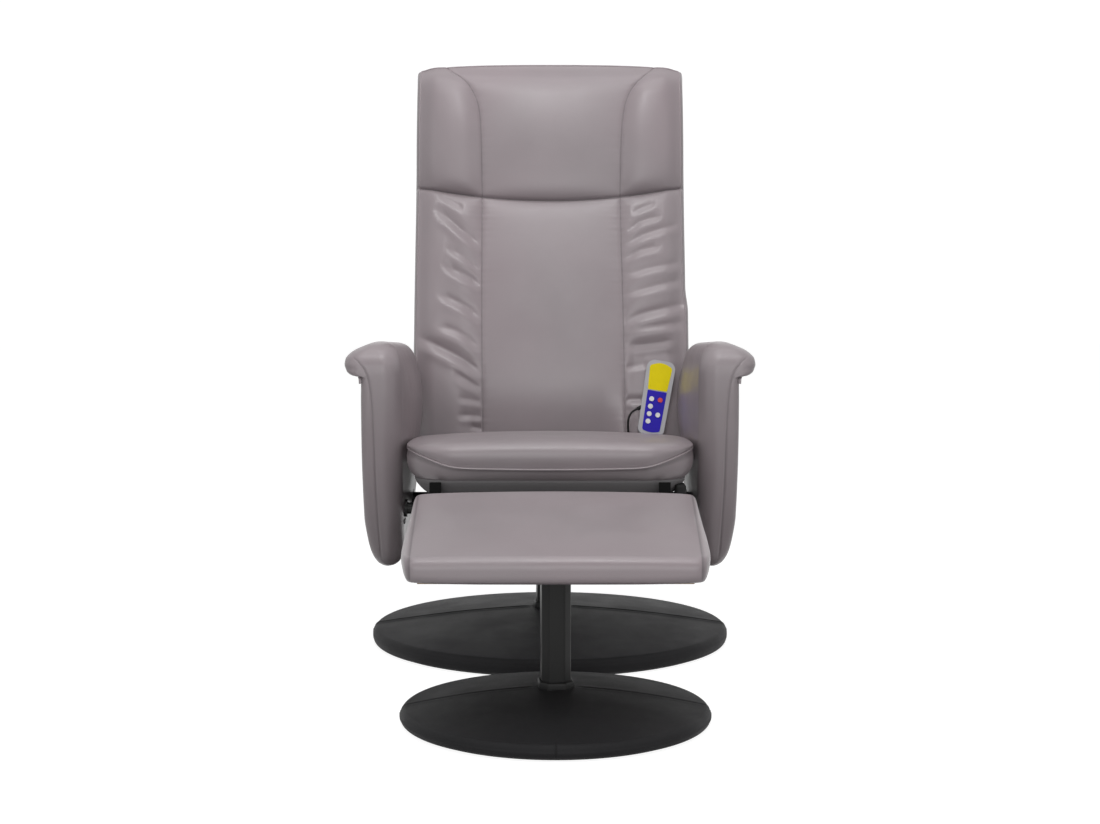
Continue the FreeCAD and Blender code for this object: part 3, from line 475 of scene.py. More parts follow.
optics = bpy.data.cameras.new("camera")
optics.sensor_width = SENSOR_WIDTH_MM
optics.lens = SENSOR_WIDTH_MM * FOCAL_PX / FRAME_WIDTH_PX
camera = link("camera", optics)
camera.location = CAMERA_PLACE
camera.rotation_euler = (math.radians(90 - CAMERA_PITCH_DEG), 0, 0)
bpy.context.scene.camera = camera


# Cord of the hand control

CORD_ROUTE = mm(
    (162.67, -26.8, 28.65), (154.1, -26.8, 24.6), (147.7, -26.3, 16.9), (144.8, -24.4, 6.5),
    (144.8, -20.2, -4.8), (145.8, -12.5, -14.5), (146.5, -4.1, -23), (147.2, 1.4, -32.5), (147.6, 3, -40.4),
    (147.8, 7.4, -48.1), (148, 15.1, -52.5), (148, 23.9, -52.5), (148, 31.6, -48.1), (148, 36, -40.4),
    (148, 35.85, -30), (148, 36, -20),
)
CORD_DIAMETER = 0.004


def back_world(u, w, v):
    """Points of the leaning back in the row frame."""
    u, w, v = np.broadcast_arrays(u, w, v)
    y = BACK_FACE_Y + v * math.sin(BACK_LEAN) + w * math.cos(BACK_LEAN)
    z = BACK_FACE_Z + v * math.cos(BACK_LEAN) - w * math.sin(BACK_LEAN)
    return np.stack([u, y, z], axis=-1)


def hand_control_cord():
    points = back_world(*CORD_ROUTE.T)
    piece = add_tube("hand_control_cord", points, CORD_DIAMETER / 2, "backrest", "handset_cord",
                     slot="rubber", kind="NURBS", facets=6)


hand_control_cord()


# Labels of the hand control

CONTROL_PLACE = (0.1848, -0.0138, -0.0222)
CONTROL_TILT = math.radians(9.8)
CONTROL_THICKNESS = 0.02
LABEL_THICKNESS = 0.0005
BUTTON_HOLE = 0.0048
BUTTON_CENTRES = mm((-8, 68), (8, 68), (-8, 53.8), (-8, 39.6), (8, 39.6), (-8, 25.4))
# Corners of the films: across, along and radius
UPPER_LABEL = mm((-18, 85.5, 2.5), (18, 85.5, 2.5), (21.2, 130.8, 7), (0, 139.8, 30), (-21.2, 130.8, 7))
LOWER_LABEL = mm((-16.4, 8.5, 5), (0, 5, 30), (16.4, 8.5, 5), (18, 83.8, 1.5), (-18, 83.8, 1.5))


def control_world(across, depth, along):
    """Points of the tilted hand control in the row frame."""
    u = CONTROL_PLACE[0] + across * math.cos(CONTROL_TILT) + along * math.sin(CONTROL_TILT)
    v = CONTROL_PLACE[2] - across * math.sin(CONTROL_TILT) + along * math.cos(CONTROL_TILT)
    return back_world(u, CONTROL_PLACE[1] + depth, v)


def label(name, node, corners, centres):
    """A thin printed film on the hand control's face, with a hole for each button."""
    hole = BUTTON_HOLE * circle(28)
    loops = [round_corners(corners, 10)] + [hole + centre for centre in centres]
    spots = np.vstack(loops)
    front = control_world(spots[:, 0], -CONTROL_THICKNESS - LABEL_THICKNESS, spots[:, 1])
    rear = control_world(spots[:, 0], -CONTROL_THICKNESS, spots[:, 1])
    outlines = [[Vector((*spot, 0)) for spot in loop] for loop in loops]
    faces = [tuple(face) for face in tessellate_polygon(outlines)]
    faces += shifted(faces, len(spots))
    start = 0
    for loop in loops:
        edge = list(range(start, start + len(loop)))
        faces += band(edge, [number + len(spots) for number in edge])
        start += len(loop)
    points = np.vstack([front, rear])
    add_mesh(name, points, faces, "backrest", node, slot=slot_of[node], smooth=False)


label("upper_label_film", "handset_upper_label", UPPER_LABEL, ())
label("lower_label_film", "handset_lower_label", LOWER_LABEL, BUTTON_CENTRES)


# Backrest

# Seams beside the middle panel: height up the back and distance from the middle
LEFT_SEAM = mm(
    (-30, 125.7), (200, 128), (450, 129.6), (552, 131.2), (603, 134.4), (630, 139.7), (653, 149.2),
    (675, 163.9), (696, 187.3), (730, 225),
)
RIGHT_SEAM = mm(
    (-30, 141.5), (200, 137.5), (444, 133.9), (534, 135.1), (582, 137.7), (618, 142.6), (645.5, 151.5),
    (667, 164.5), (692, 186.8), (730, 223),
)
# Creases beside the middle panel, in mm: points (u, v) along each, its depth and its breadth
CREASES = (
    (((-212, 448), (-166, 420)), 1.6, 8),
    (((-222, 417), (-200, 405), (-167, 375), (-134, 350)), 4.2, 10),
    (((-196, 340), (-170, 326), (-133, 299)), 2.6, 8),
    (((-202, 307), (-172, 291), (-133, 271)), 4.2, 10),
    (((-212, 251), (-181, 237), (-133, 208)), 4.2, 10),
    (((-216, 190), (-180, 179), (-133, 149)), 3.4, 10),
    (((-250, 170), (-212, 151), (-178, 133), (-131, 103)), 5.8, 11),
    (((-182, 99), (-129, 70)), 2.6, 8),
    (((-172, 52), (-128, 47)), 1.8, 7),
    (((-172, 21), (-128, 21)), 2.8, 7),
    (((-150, 1), (-127, -2)), 2.6, 5),
    (((156, 412), (200, 430)), 2, 8),
    (((148, 377), (178, 395), (211, 404)), 3, 8),
    (((140, 348), (180, 367), (244, 390)), 3, 9),
    (((138, 318), (174, 336), (208, 343)), 3, 8),
    (((146, 288), (183, 299), (248, 314)), 2.8, 9),
    (((140, 250), (179, 260), (250, 279)), 3, 9),
    (((137, 195), (165, 208), (211, 221), (254, 234)), 5.2, 11),
    (((141, 178), (181, 185), (250, 195)), 2.2, 8),
    (((141, 149), (185, 153.5), (230, 160)), 2.4, 8),
    (((141, 110), (182, 118)), 2.4, 8),
    (((140, 49), (176, 50)), 4.4, 7),
)
CREASE_FLOOR = 0.0022
# Height of the seam below the head cushion, and how much higher it is at the sides
HEAD_SEAM, HEAD_SEAM_RISE = 0.4382, 0.0268
# How far the back's outline draws in towards its upper corners, and its step low on the right
TOP_BOW, TOP_CORNER, SIDE_CORNER, RIGHT_STEP = 0.0045, 0.0015, 0.0045, 0.0045
WING_CREST = 0.62
# How far the cover stands out: the swell of a whole zone, the crown of a panel, and the setback all round
HEAD_SWELL, BODY_SWELL, SETBACK = 0.015, 0.018, 0.0055
HEAD_WING, BODY_WING, HEAD_MIDDLE, BODY_MIDDLE = 0.0125, 0.01, 0.0085, 0.007
LEAST_CROWN = 0.0035
# How far the cover falls back at the bottom, towards the sides and the top, and at its seams
BOTTOM_RECESS, SIDE_ROLL, TOP_ROLL = 0.019, 0.0085, 0.016
SEAM_PINCH, SEAM_PUCKER, HEAD_SEAM_PINCH = 0.0018, 0.00045, 0.003
# Strips that close a cushion behind its rim: outward step, share of the rim's own depth, and depth
BACK_STRIP = (
    (0.0016, 1, 0.0012), (0.0044, 1, 0.006), (0.0064, 1, 0.013), (BACK_BULGE, 0, 0.036), (0.0078, 0, 0.052),
    (0.0064, 0, 0.066), (0.0046, 0, 0.078), (0.0022, 0, BOARD_REAR), (-BOARD_LIP, 0, BOARD_REAR),
    (-BOARD_LIP, 0, BOARD_FRONT),
)
REAR_STRIP = (
    (0.006, 0, SHELL_REAR - 0.0045), (0.011, 0, SHELL_REAR - 0.009), (0.0145, 0, SHELL_REAR - 0.016),
    (0.0158, 0, SHELL_REAR - 0.024), (0.015, 0, BOARD_REAR + 0.0006),
)
BACK_WELT_SHIFT, REAR_PIPING_SHIFT = (0, 0.0006, 0), (0, 0.0002, 0)
REAR_INSET, REAR_END_INSET = 0.016, 0.0073
REAR_CROWN = 0.003
REAR_WALL = 0.0035


def head_seam(u):
    """Height of the seam below the head cushion."""
    return HEAD_SEAM + HEAD_SEAM_RISE * (u / 0.25) ** 2


def back_top(u):
    """Height of the back's upper edge across its width."""
    return BACK_TOP - TOP_BOW * np.abs(u / 0.2) ** 3 - TOP_CORNER * ease(np.abs(u), 0.23, BACK_EDGE)


def back_bottom(u):
    """Height of the back's lower edge, which hangs lower behind the seat."""
    return BACK_BOTTOM - BACK_SKIRT * ease(u, -0.215, -0.165) * (1 - ease(u, 0.098, 0.134))


def back_edge(v, side):
    """Half-width of the back's front panel at a height, on one side."""
    corner = SIDE_CORNER * np.clip((v - 0.69) / 0.02, 0, 1.2) ** 3
    step = RIGHT_STEP * (1 - ease(v, 0.222, 0.268)) if side > 0 else 0
    return BACK_EDGE - corner + step


def joined(parts):
    """Shares of several parts in one row, each with its part's number."""
    numbers = [np.full(len(part), index) for index, part in enumerate(parts)]
    return np.hstack(parts), np.hstack(numbers)


def back_grid():
    """Places (u, v) of the front panel's points, in lines along the seams, with panel and share."""
    share, panel = joined([spread(84), spread(110)[1:], spread(84)[1:]])
    rise, zone = (part[:, None] for part in joined([spread(230), spread(100)[1:]]))
    v = np.linspace(BACK_BOTTOM, BACK_TOP, len(rise))[:, None]
    for _ in range(4):
        left, right = -through(v, LEFT_SEAM), through(v, RIGHT_SEAM)
        low, high = -back_edge(v, -1), back_edge(v, 1)
        left, right = np.maximum(left, low + 0.02), np.minimum(right, high - 0.02)
        start, end = np.choose(panel, [low, left, right]), np.choose(panel, [left, right, high])
        u = start + (end - start) * share
        seam, bottom, top = head_seam(u), back_bottom(u), back_top(u)
        v = np.where(zone == 0, bottom + (seam - bottom) * rise, seam + (top - seam) * rise)
    return u, v, panel, share, zone, rise


def crease(u, v, points, depth, breadth):
    """A crease of the cover: a sharp hollow along a line, with a fuller side below it."""
    start, end = points[0][0], points[-1][0]
    slope = (points[-1][1] - points[0][1]) / (end - start)
    across = (v - through(u, points)) / math.hypot(1, slope)
    along = (u - start) / (end - start)
    fade = ease(along, -0.1, 0.3) * (1 - ease(along, 0.8, 1.1))
    reach = np.where(across > 0, 0.95 * breadth, 1.35 * breadth)
    hollow = np.exp(-(np.sqrt(across ** 2 + CREASE_FLOOR ** 2) - CREASE_FLOOR) / reach)
    return depth * fade * (1.65 * hollow - 0.75 * ridge(across + 1.6 * breadth, breadth))


def back_front(u, v, panel, share, zone, rise):
    """Points (u, w, v) of the front panel's face, and the painted shade along its seams."""
    seam_v = head_seam(u)
    head, side = zone == 1, panel != 1
    crest = np.where(panel == 0, WING_CREST, 1 - WING_CREST)
    wing = 1 - (np.abs(share - crest) / np.where(share < crest, crest, 1 - crest)) ** 2
    crown = np.where(side, wing, 1 - np.abs(2 * share - 1) ** 2.3)
    arch = 1 - np.abs(2 * rise - 1) ** 2
    slump = 1 - np.abs(2 * rise ** 0.85 - 1) ** 2
    swell = np.where(head, HEAD_SWELL * arch, BODY_SWELL * slump) - SETBACK
    ends = 1 - np.exp(-np.abs(v - seam_v) / 0.012)
    fullness = np.where(side, np.where(head, HEAD_WING, BODY_WING), np.where(head, HEAD_MIDDLE, BODY_MIDDLE))
    fullness = fullness * (1 - 0.85 * ease(v, 0.64, 0.705))
    w = -swell - (fullness * crown + LEAST_CROWN) * ends
    w = w + BOTTOM_RECESS * (1 - ease(u, 0.095, 0.14)) * (1 - ease(v, BACK_BOTTOM, 0.115)) ** 1.4
    pressed = ease(u, 0.125, 0.16) * (1 - ease(v, 0.125, 0.18))
    w = w + (np.maximum(w, HAND_CONTROL_REAR) - w) * pressed
    w = w + SIDE_ROLL * ease(np.abs(u), 0.212, BACK_EDGE) ** 1.6
    w = w + TOP_ROLL * ease(v, 0.655, 0.716) ** 2
    gap = np.minimum(np.abs(u + through(v, LEFT_SEAM)), np.abs(u - through(v, RIGHT_SEAM)))
    pucker = np.sin(v * 330 + 3 * np.sin(v * 47)) * np.sin(v * 121)
    w = w + SEAM_PINCH * np.exp(-gap / 0.003) + SEAM_PUCKER * pucker * np.exp(-gap / 0.012)
    w = w + HEAD_SEAM_PINCH * ridge(v - seam_v, 0.0024)
    for points, depth, breadth in CREASES:
        w = w + crease(u, v, mm(*points), depth / 1000, breadth / 1000) * ease(gap, 0, 0.005)
    # Painted shade: thin dark lines in the side seams, and a darker line for the shadow under the head
    # cushion's overhang.
    dark = np.maximum(0.5 * ridge(gap, 0.0009), 0.8 * ridge(v - seam_v, 0.0011))
    return np.stack([u, w, v], axis=-1), dark


def cushion_shell(name, grid, shade, strip, replaced, close=True):
    """A face over a grid of (u, w, v) points, with a strip round its rim and a flat rear."""
    rows, columns = grid.shape[:2]
    points = [grid.reshape(-1, 3)]
    faces = grid_faces(rows, columns)
    edge = perimeter(rows, columns)
    loop = points[0][edge]
    normal = rim_normals(loop[:, [0, 2]])
    for step, share, depth in strip:
        reach = step * (1 - 0.55 * normal[:, 1] ** 2)
        u, v = loop[:, 0] + normal[:, 0] * reach, loop[:, 2] + normal[:, 1] * reach
        points.append(np.stack([u, share * loop[:, 1] + depth, v], axis=1))
        start = rows * columns + (len(points) - 2) * len(loop)
        following = list(range(start, start + len(loop)))
        faces += band(edge, following)
        edge = following
    if close:
        faces.append(tuple(edge))
    world = back_world(*np.vstack(points).T)
    dark = np.hstack([shade.reshape(-1), np.zeros(len(strip) * len(loop))])
    return add_mesh(name, world, faces, "backrest", *replaced, shade=dark), loop


def backrest():
    grid, dark = back_front(*back_grid())
    piece, rim = cushion_shell("back_upholstery", grid, dark, BACK_STRIP, ["back_cushion", "head_cushion"])
    welt = back_world(*(rim + BACK_WELT_SHIFT).T)
    add_tube("back_welt", welt[::2], WELT_RADIUS, "backrest", closed=True)


def rear_cover():
    """Upholstered rear of the back: a shallow hollow cover over the board."""
    shares = np.linspace(-1, 1, 44)
    levels = np.linspace(0, 1, 60)[:, None]
    v = BACK_BOTTOM + (BACK_TOP - BACK_BOTTOM) * levels
    u = (np.minimum(back_edge(v, -1), BACK_EDGE) - REAR_INSET) * shares
    low, high = BACK_BOTTOM + REAR_END_INSET, back_top(u) - REAR_END_INSET
    v = low + (high - low) * levels
    w = SHELL_REAR - REAR_CROWN + REAR_CROWN * (1 - shares ** 4) * (1 - (2 * levels - 1) ** 6)
    grid = np.stack([u, w, v], axis=-1)
    plain = np.zeros(u.shape)
    piece, rim = cushion_shell("rear_upholstery", grid, plain, REAR_STRIP, ["rear_shell"], close=False)
    wall = piece.modifiers.new("wall", "SOLIDIFY")
    wall.thickness = REAR_WALL
    wall.offset = -1
    piping = back_world(*(rim + REAR_PIPING_SHIFT).T)
    add_tube("rear_piping", piping, REAR_PIPING_RADIUS, "backrest", closed=True)


backrest()
rear_cover()


# Seat pad

# Heights along the seat, front to rear: the crown before it rolls over, and the welt
SEAT_CROWN_LINE = mm(
    (-285, 384.6), (-200, 384.2), (-140, 383), (-80, 380.4), (0, 375), (50, 370.8), (100, 365.6), (150, 359),
)
SEAT_WELT_LINE = mm(
    (-277, 338), (-275.7, 339), (-274.5, 342), (-271.7, 346.5), (-261.2, 354), (-245, 359.8), (-225, 363.6),
    (-200, 366), (-170, 366.8), (-100, 364.2), (0, 359), (100, 352.6), (145, 346.5),
)
SEAT_MIDDLE = (0, -0.04)
SEAT_ROLL_POWER = 14
SEAT_EDGE_POWER = 6
SEAT_UNDERCUT = 0.003
SEAT_SIDE_FALL, SEAT_SIDE_REACH = 0.0055, 0.19
SEAT_WELT_SAG, SEAT_SAG_REACH = 0.003, 0.17
SEAT_BOTTOM_INSET = 0.0265
# The boxing below the welt: share of the way down, and how far out it is in front and at the sides
SEAT_BOXING = (
    (0.05, 0.0002, 0.0012), (0.14, -0.0006, 0.0024), (0.28, -0.0022, 0.0034), (0.45, -0.0048, 0.0032),
    (0.62, -0.0078, 0.0014), (0.77, -0.0108, -0.002), (0.88, -0.0134, -0.0062), (0.95, -0.0156, -0.01),
    (0.985, -0.0172, -0.013), (1, -0.019, -0.0165),
)
# The tray, from its top down: how far inside the seat in front and at the sides, and height
TRAY_RINGS = mm(
    (15, 10, 316.5), (16.5, 11, 312), (20, 13.5, 307), (25, 18.5, 301), (31, 25, 294.5), (35, 29.5, 291.4),
    (43, 38, 290.5),
)


def seat_plan():
    """Evenly spaced points round the seat, anticlockwise from its front, and the ways out."""
    line = [(0, SEAT_FRONT)]
    for turn, side, end, radius in ((-90, 1, -1, SEAT_FRONT_ROUND), (0, 1, 1, SEAT_REAR_ROUND),
                                    (90, -1, 1, SEAT_REAR_ROUND), (180, -1, -1, SEAT_FRONT_ROUND)):
        x = side * (SEAT_HALF_WIDTH - radius)
        y = SEAT_REAR - radius if end > 0 else SEAT_FRONT + radius
        line += arc(x, y, radius, radius, turn, turn + 90, 40)
    plan = evenly(line + line[:1], 420)
    return plan, rim_normals(plan)


def by_facing(normal, front, side):
    """An amount that goes from its front to its side value with the way a rim faces."""
    return front + (side - front) * normal[:, :1] ** 2


def seat():
    """Crowned pad that rolls over into a welt, with a boxing below it that tucks under, and painted shade just
    below the welt.
    """
    plan, normal = seat_plan()
    count = len(plan)
    sag = SEAT_WELT_SAG * np.clip(1 - (plan[:, 0] / SEAT_SAG_REACH) ** 2, 0, 1) * (normal[:, 1] < -0.5)
    welt_z = smoothed(through(plan[:, 1], SEAT_WELT_LINE) - sag, 30)
    fulls = np.hstack([(1 - np.linspace(0.04, 0.74, 24) ** SEAT_ROLL_POWER) ** (1 / SEAT_EDGE_POWER),
                       np.linspace(0.992, 0, 44)])
    shares = (1 - fulls ** SEAT_EDGE_POWER) ** (1 / SEAT_ROLL_POWER)
    rings = []
    for share, full in zip(shares, fulls):
        place = SEAT_MIDDLE + (plan - SEAT_MIDDLE) * share
        fall = SEAT_SIDE_FALL * (np.abs(place[:, 0]) / SEAT_SIDE_REACH) ** 2.2
        crown = np.maximum(through(place[:, 1], SEAT_CROWN_LINE) - fall, welt_z)
        bulge = SEAT_UNDERCUT * math.sin(math.pi * full) * share ** 20
        rings.append(level(place + normal * bulge, welt_z + (crown - welt_z) * full))
    dark = np.zeros(len(rings))
    for share, front_out, side_out in SEAT_BOXING:
        out = by_facing(normal, front_out, side_out)
        rings.append(level(plan + normal * out, welt_z + (SEAT_LIP - welt_z) * share))
        # Painted shade in a band just below the welt.
        dark = np.append(dark, 0.7 * ridge(share - 0.1, 0.05))
    rings.append(level(plan - normal * SEAT_BOTTOM_INSET, SEAT_BOTTOM))
    shade = np.hstack([[0], np.repeat(np.append(dark, 0), count)])
    points, faces = lofted(rings, caps=False)
    top = (*SEAT_MIDDLE, through(SEAT_MIDDLE[1], SEAT_CROWN_LINE))
    fan = [(0, 1 + (index + 1) % count, 1 + index) for index in range(count)]
    bottom = tuple(range(len(points) - count, len(points)))
    faces = fan + shifted(faces + [bottom], 1)
    points = np.vstack([[top], points])
    piece = add_mesh("seat_upholstery", points, faces, "seat_frame", "seat_cushion", shade=shade)
    welt = level(plan + normal * 0.0014, welt_z + 0.0002)
    add_tube("seat_welt", welt, WELT_RADIUS, "seat_frame", closed=True)


def tray():
    """Covered tray that carries the seat pad, drawn in towards its bottom."""
    plan, normal = seat_plan()
    rings = [level(plan - normal * by_facing(normal, front, side), z) for front, side, z in TRAY_RINGS]
    piece = add_mesh("tray_cover", *lofted(rings), "seat_frame", "seat_tray", slot="tray")


seat()
tray()


# Arms

ARM_BOTTOM, ARM_TOP = 0.147, 0.5425
ARM_CREASE = 0.4838
ARM_REAR_DROP = 0.0165
ARM_SOFT_ROUND, ARM_FIRM_ROUND, ARM_LIP_ROUND = 0.03, 0.011, 0.013
ARM_OUTER_SWELL = 0.0045
ARM_GROOVE = 0.0011
# Where the welt under the arm's lip comes up its front: x, distance behind the front, z
ARM_WELT_START = ((0.3122, 0.003, 0.4735), (0.3124, 0.003, 0.478), (0.313, 0.005, 0.4822))
ARM_WELT_X = 0.3145
# Inner and outer faces of the right arm's section, and the seam on its front, by height
ARM_INSIDE = mm(
    (147, 279), (151, 269), (158, 260.5), (172, 253.5), (195, 250.3), (230, 249.7), (340, 249),
    (400, 247.5), (470, 246.4), (492, 246.8), (505, 248), (517, 250.8), (527, 255.3), (534, 260.8),
    (538.5, 266.8), (541.2, 273.5), (542.3, 279), (542.5, 283),
)
ARM_OUTSIDE = mm(
    (147, 285), (150, 290), (158, 297.5), (180, 306), (203, 309.5), (247, 312.5), (320, 312.5),
    (454, 311.5), (482, 311.8), (484.5, 316.5), (487, 327), (493.5, 336), (505, 340), (514.4, 338.4),
    (522, 332.5), (529, 323), (534.5, 311.2), (538.8, 300.5), (541, 294.5), (542.1, 290), (542.5, 286),
)
ARM_SEAM = mm(
    (147, 289), (270, 290.5), (370, 291.2), (435, 293.2), (470, 296.8), (494, 304), (508, 313.6),
    (520, 325), (542.5, 330),
)
# Front and rear of the arm's section by height
ARM_FRONT = mm(
    (147, -88), (151, -105), (158, -119), (172, -135.5), (197, -154.5), (250, -184.5), (300, -204),
    (350, -218), (400, -228), (440, -233.2), (470, -235.8), (490, -236.6), (502, -235.8), (514, -232),
    (525, -224), (534, -211.5), (539, -196.5), (541.5, -179), (542.5, -155),
)
ARM_REAR = mm(
    (147, -8), (151, 6), (158, 18), (172, 33), (197, 51), (300, 96), (400, 138), (460, 161), (490, 171.5),
    (504, 173.5), (516, 171), (527, 164), (536, 153), (541, 140), (542.5, 122),
)
# How far the arm's inner side swells over the seat, by height
ARM_INNER_PAD = mm(
    (147, 0), (215, 0), (262, 4.5), (285, 6), (318, 7), (335, 7.6), (352, 8.2), (366, 9), (380, 10.5),
    (400, 11.5), (425, 10.8), (470, 6.2), (510, 0), (542.5, 0),
)
ARM_LEVELS = np.hstack([
    ARM_BOTTOM + 0.05 * (1 - np.cos(np.linspace(0, math.pi / 2, 18))),
    np.linspace(0.203, 0.474, 50),
    np.linspace(0.477, 0.49, 16),
    np.linspace(0.492, 0.524, 20),
    ARM_TOP - 0.017 * (1 - np.sin(np.linspace(0.1, math.pi / 2, 26))),
])


def dome(z):
    """A measure of height in which the arm closes in a round top."""
    return -math.sqrt(max(ARM_TOP - z, 0))


def by_height(z, table):
    return through(dome(z), [(dome(height), amount) for height, amount in table])


def arm_drop(y, z):
    """How far the arm's top falls towards the rear."""
    return ARM_REAR_DROP * np.clip((y + 0.2) / 0.37, 0, 1) * ease(z, 0.42, 0.484)


def arm_outline(inside, outside, front, rear, z):
    """Points round the right arm's section from its inner front corner: arcs joined by lines."""
    width = outside - inside
    soft = min(ARM_SOFT_ROUND, 0.52 * width)
    firm = min(ARM_FIRM_ROUND + ARM_LIP_ROUND * ease(z, 0.482, 0.5), 0.4 * width)
    arcs = (
        arc(inside + soft, front + 1.25 * soft, soft, 1.25 * soft, 180, 270, 16),
        arc(outside - firm, front + firm, firm, firm, 270, 360, 16),
        arc(outside - firm, rear - firm, firm, firm, 0, 90, 16),
        arc(inside + firm, rear - firm, firm, firm, 90, 180, 16),
    )
    line = []
    for index, count in enumerate((26, 60, 16, 60)):
        start, target = np.array(arcs[index][-1]), np.array(arcs[(index + 1) % 4][0])
        between = np.linspace(0, 1, count + 2)[1:-1]
        line += arcs[index] + [start + (target - start) * share for share in between]
    return np.array(line)


def arm_ring(z):
    """Points round the right arm at a height, and the painted shade in its front seam and under its lip."""
    inside, outside = by_height(z, ARM_INSIDE), by_height(z, ARM_OUTSIDE)
    front, rear = by_height(z, ARM_FRONT), by_height(z, ARM_REAR)
    ring = arm_outline(inside, outside, front, rear, z)
    along = np.clip((ring[:, 1] - front) / (rear - front), 0, 1)
    outer = ring[:, 0] > (inside + outside) / 2
    swell = (1 - (2 * along - 1) ** 4) * ease(z, 0.16, 0.25) * (1 - ease(z, 0.44, 0.484))
    inner = ease(ring[:, 1], -0.215, -0.04) * through(z, ARM_INNER_PAD)
    ring[:, 0] += np.where(outer, ARM_OUTER_SWELL * swell, -inner)
    gap = ring[:, 0] - through(z, ARM_SEAM)
    facing = (along < 0.1) * ease(z, 0.16, 0.19) * (1 - ease(z, 0.512, 0.522))
    ring[:, 1] += ARM_GROOVE * ridge(gap, 0.002) * facing
    # Painted shadow under the overhanging lip on the outer side, and painted shade in the front seam groove.
    under = ridge(z - ARM_CREASE, 0.0015) * (ring[:, 0] > 0.3085)
    dark = np.maximum(0.5 * ridge(gap, 0.0009) * facing, 0.85 * under)
    return level(ring, z - arm_drop(ring[:, 1], z)), dark


def arms():
    rings, shades = zip(*[arm_ring(z) for z in ARM_LEVELS])
    points, faces = lofted(rings)
    dark = np.hstack(shades)
    front, rear = by_height(ARM_CREASE, ARM_FRONT), by_height(ARM_CREASE, ARM_REAR)
    welt = [(x, front + inset, z) for x, inset, z in ARM_WELT_START]
    for y in np.linspace(front + 0.01, rear - 0.012, 60):
        welt.append((ARM_WELT_X, y, ARM_CREASE - arm_drop(y, ARM_CREASE)))
    for name, side in (("right_arm", 1), ("left_arm", -1)):
        mirror = (side, 1, 1)
        piece = add_mesh(name + "_upholstery", points * mirror, faces, "seat_frame", name + "_pad",
                         shade=dark)
        add_tube(name + "_welt", np.array(welt) * mirror, ARM_WELT_RADIUS, "seat_frame")


arms()


# Round bases

BASE_BOTTOM = 0.003
BASE_LOW_ROUND, BASE_HIGH_ROUND = 0.007, 0.011
CHAIR_APEX, STOOL_APEX = 0.06, 0.051
BASE_UNDER, SIDE_SWELL, CONE_SWELL, BASE_GAP, BASE_LIP = 0.0105, 0.0012, 0.0035, 0.0004, 0.012
BASE_GROOVE, BASE_PUFF, RIM_GROOVE = 0.002, 0.0016, 0.0012
# Angles round a quarter of a base, in degrees, close together at its seam
SEAM_ANGLES = np.array([0, 0.15, 0.3, 0.45, 0.65, 0.9, 1.3, 1.8, 2.6, 4])


def base_cover(body, prefix, centre, radius, shoulder, apex, column, seam):
    """A padded round cover: a rolled rim, a shallow cone, and a seam across it."""
    low, high = BASE_LOW_ROUND, BASE_HIGH_ROUND
    line = [(radius - BASE_UNDER, BASE_BOTTOM)]
    line += arc(radius - low, BASE_BOTTOM + low, low, low, -90, 0, 8)
    for height in np.linspace(BASE_BOTTOM + low, shoulder - high, 6)[1:]:
        share = (height - BASE_BOTTOM) / (shoulder - BASE_BOTTOM)
        line.append((radius + SIDE_SWELL * math.sin(math.pi * share), height))
    line += arc(radius - high, shoulder - high, high, high, 0, 84, 12)[1:]
    start_r, start_z = line[-1]
    inner = column + BASE_GAP
    for share in np.linspace(0, 1, 34)[1:]:
        lift = CONE_SWELL * math.sin(math.pi * share)
        line.append((start_r + (inner - start_r) * share, start_z + (apex - start_z) * share + lift))
    line.append((inner, apex - BASE_LIP))
    quarter = np.hstack([-SEAM_ANGLES[:0:-1], SEAM_ANGLES, np.linspace(4, 86, 42)[1:-1]])
    turns = np.radians(np.hstack([quarter + turn for turn in (0, 90, 180, 270)]))
    rings, dark = [], []
    for r, z in line:
        x, y = r * np.cos(turns), r * np.sin(turns)
        outer = seam * ease(r, column + 0.004, column + 0.02)
        out = (BASE_PUFF * ridge(np.abs(y) - 0.006, 0.005) - BASE_GROOVE * ridge(y, 0.0022)) * outer
        near_rim = ease(z, BASE_BOTTOM, shoulder)
        rim = ease(r, radius - 0.016, radius - 0.01)
        shrink = 1 + (out * (1 - near_rim)) / max(r, 0.05) - RIM_GROOVE * rim * ridge(x, 0.0016) / radius
        rings.append(np.column_stack([centre[0] + x * shrink, centre[1] + y * shrink, z + out * near_rim]))
        # Painted shade along the seam groove across the cover and the groove on the front of its rim.
        dark.append(np.maximum(0.8 * ridge(y, 0.0012) * outer, 0.7 * rim * ridge(x, 0.001)))
    piece = add_mesh(prefix + "_base_upholstery", *lofted(rings, caps=False), body, prefix + "_base_cover",
                     slot="base_leather", shade=np.hstack(dark))


base_cover("chair_base", "chair", CHAIR_PLACE, 0.315, 0.03, CHAIR_APEX, 0.0265, seam=1)
base_cover("footstool", "footstool", STOOL_PLACE, 0.227, 0.024, STOOL_APEX, 0.024, seam=0.35)


# Columns

COLUMN_TURN = math.radians(6)
COLUMN_CHAMFER = 0.0012
FLANGE_RADIUS, FLANGE_THICKNESS, FLANGE_CHAMFER = 0.06, 0.006, 0.0008
FLAT_SHARE = 0.52
EDGE_ROUND = 0.0011
# The collar's rings: how far outside the column, and height over the cover's apex
COLLAR_RINGS = mm(
    (0.6, -4), (4.4, -4), (4.6, -3.5), (4.2, 7), (3.9, 8.8), (2.8, 10.2), (1.2, 10.6), (0.6, 10),
)


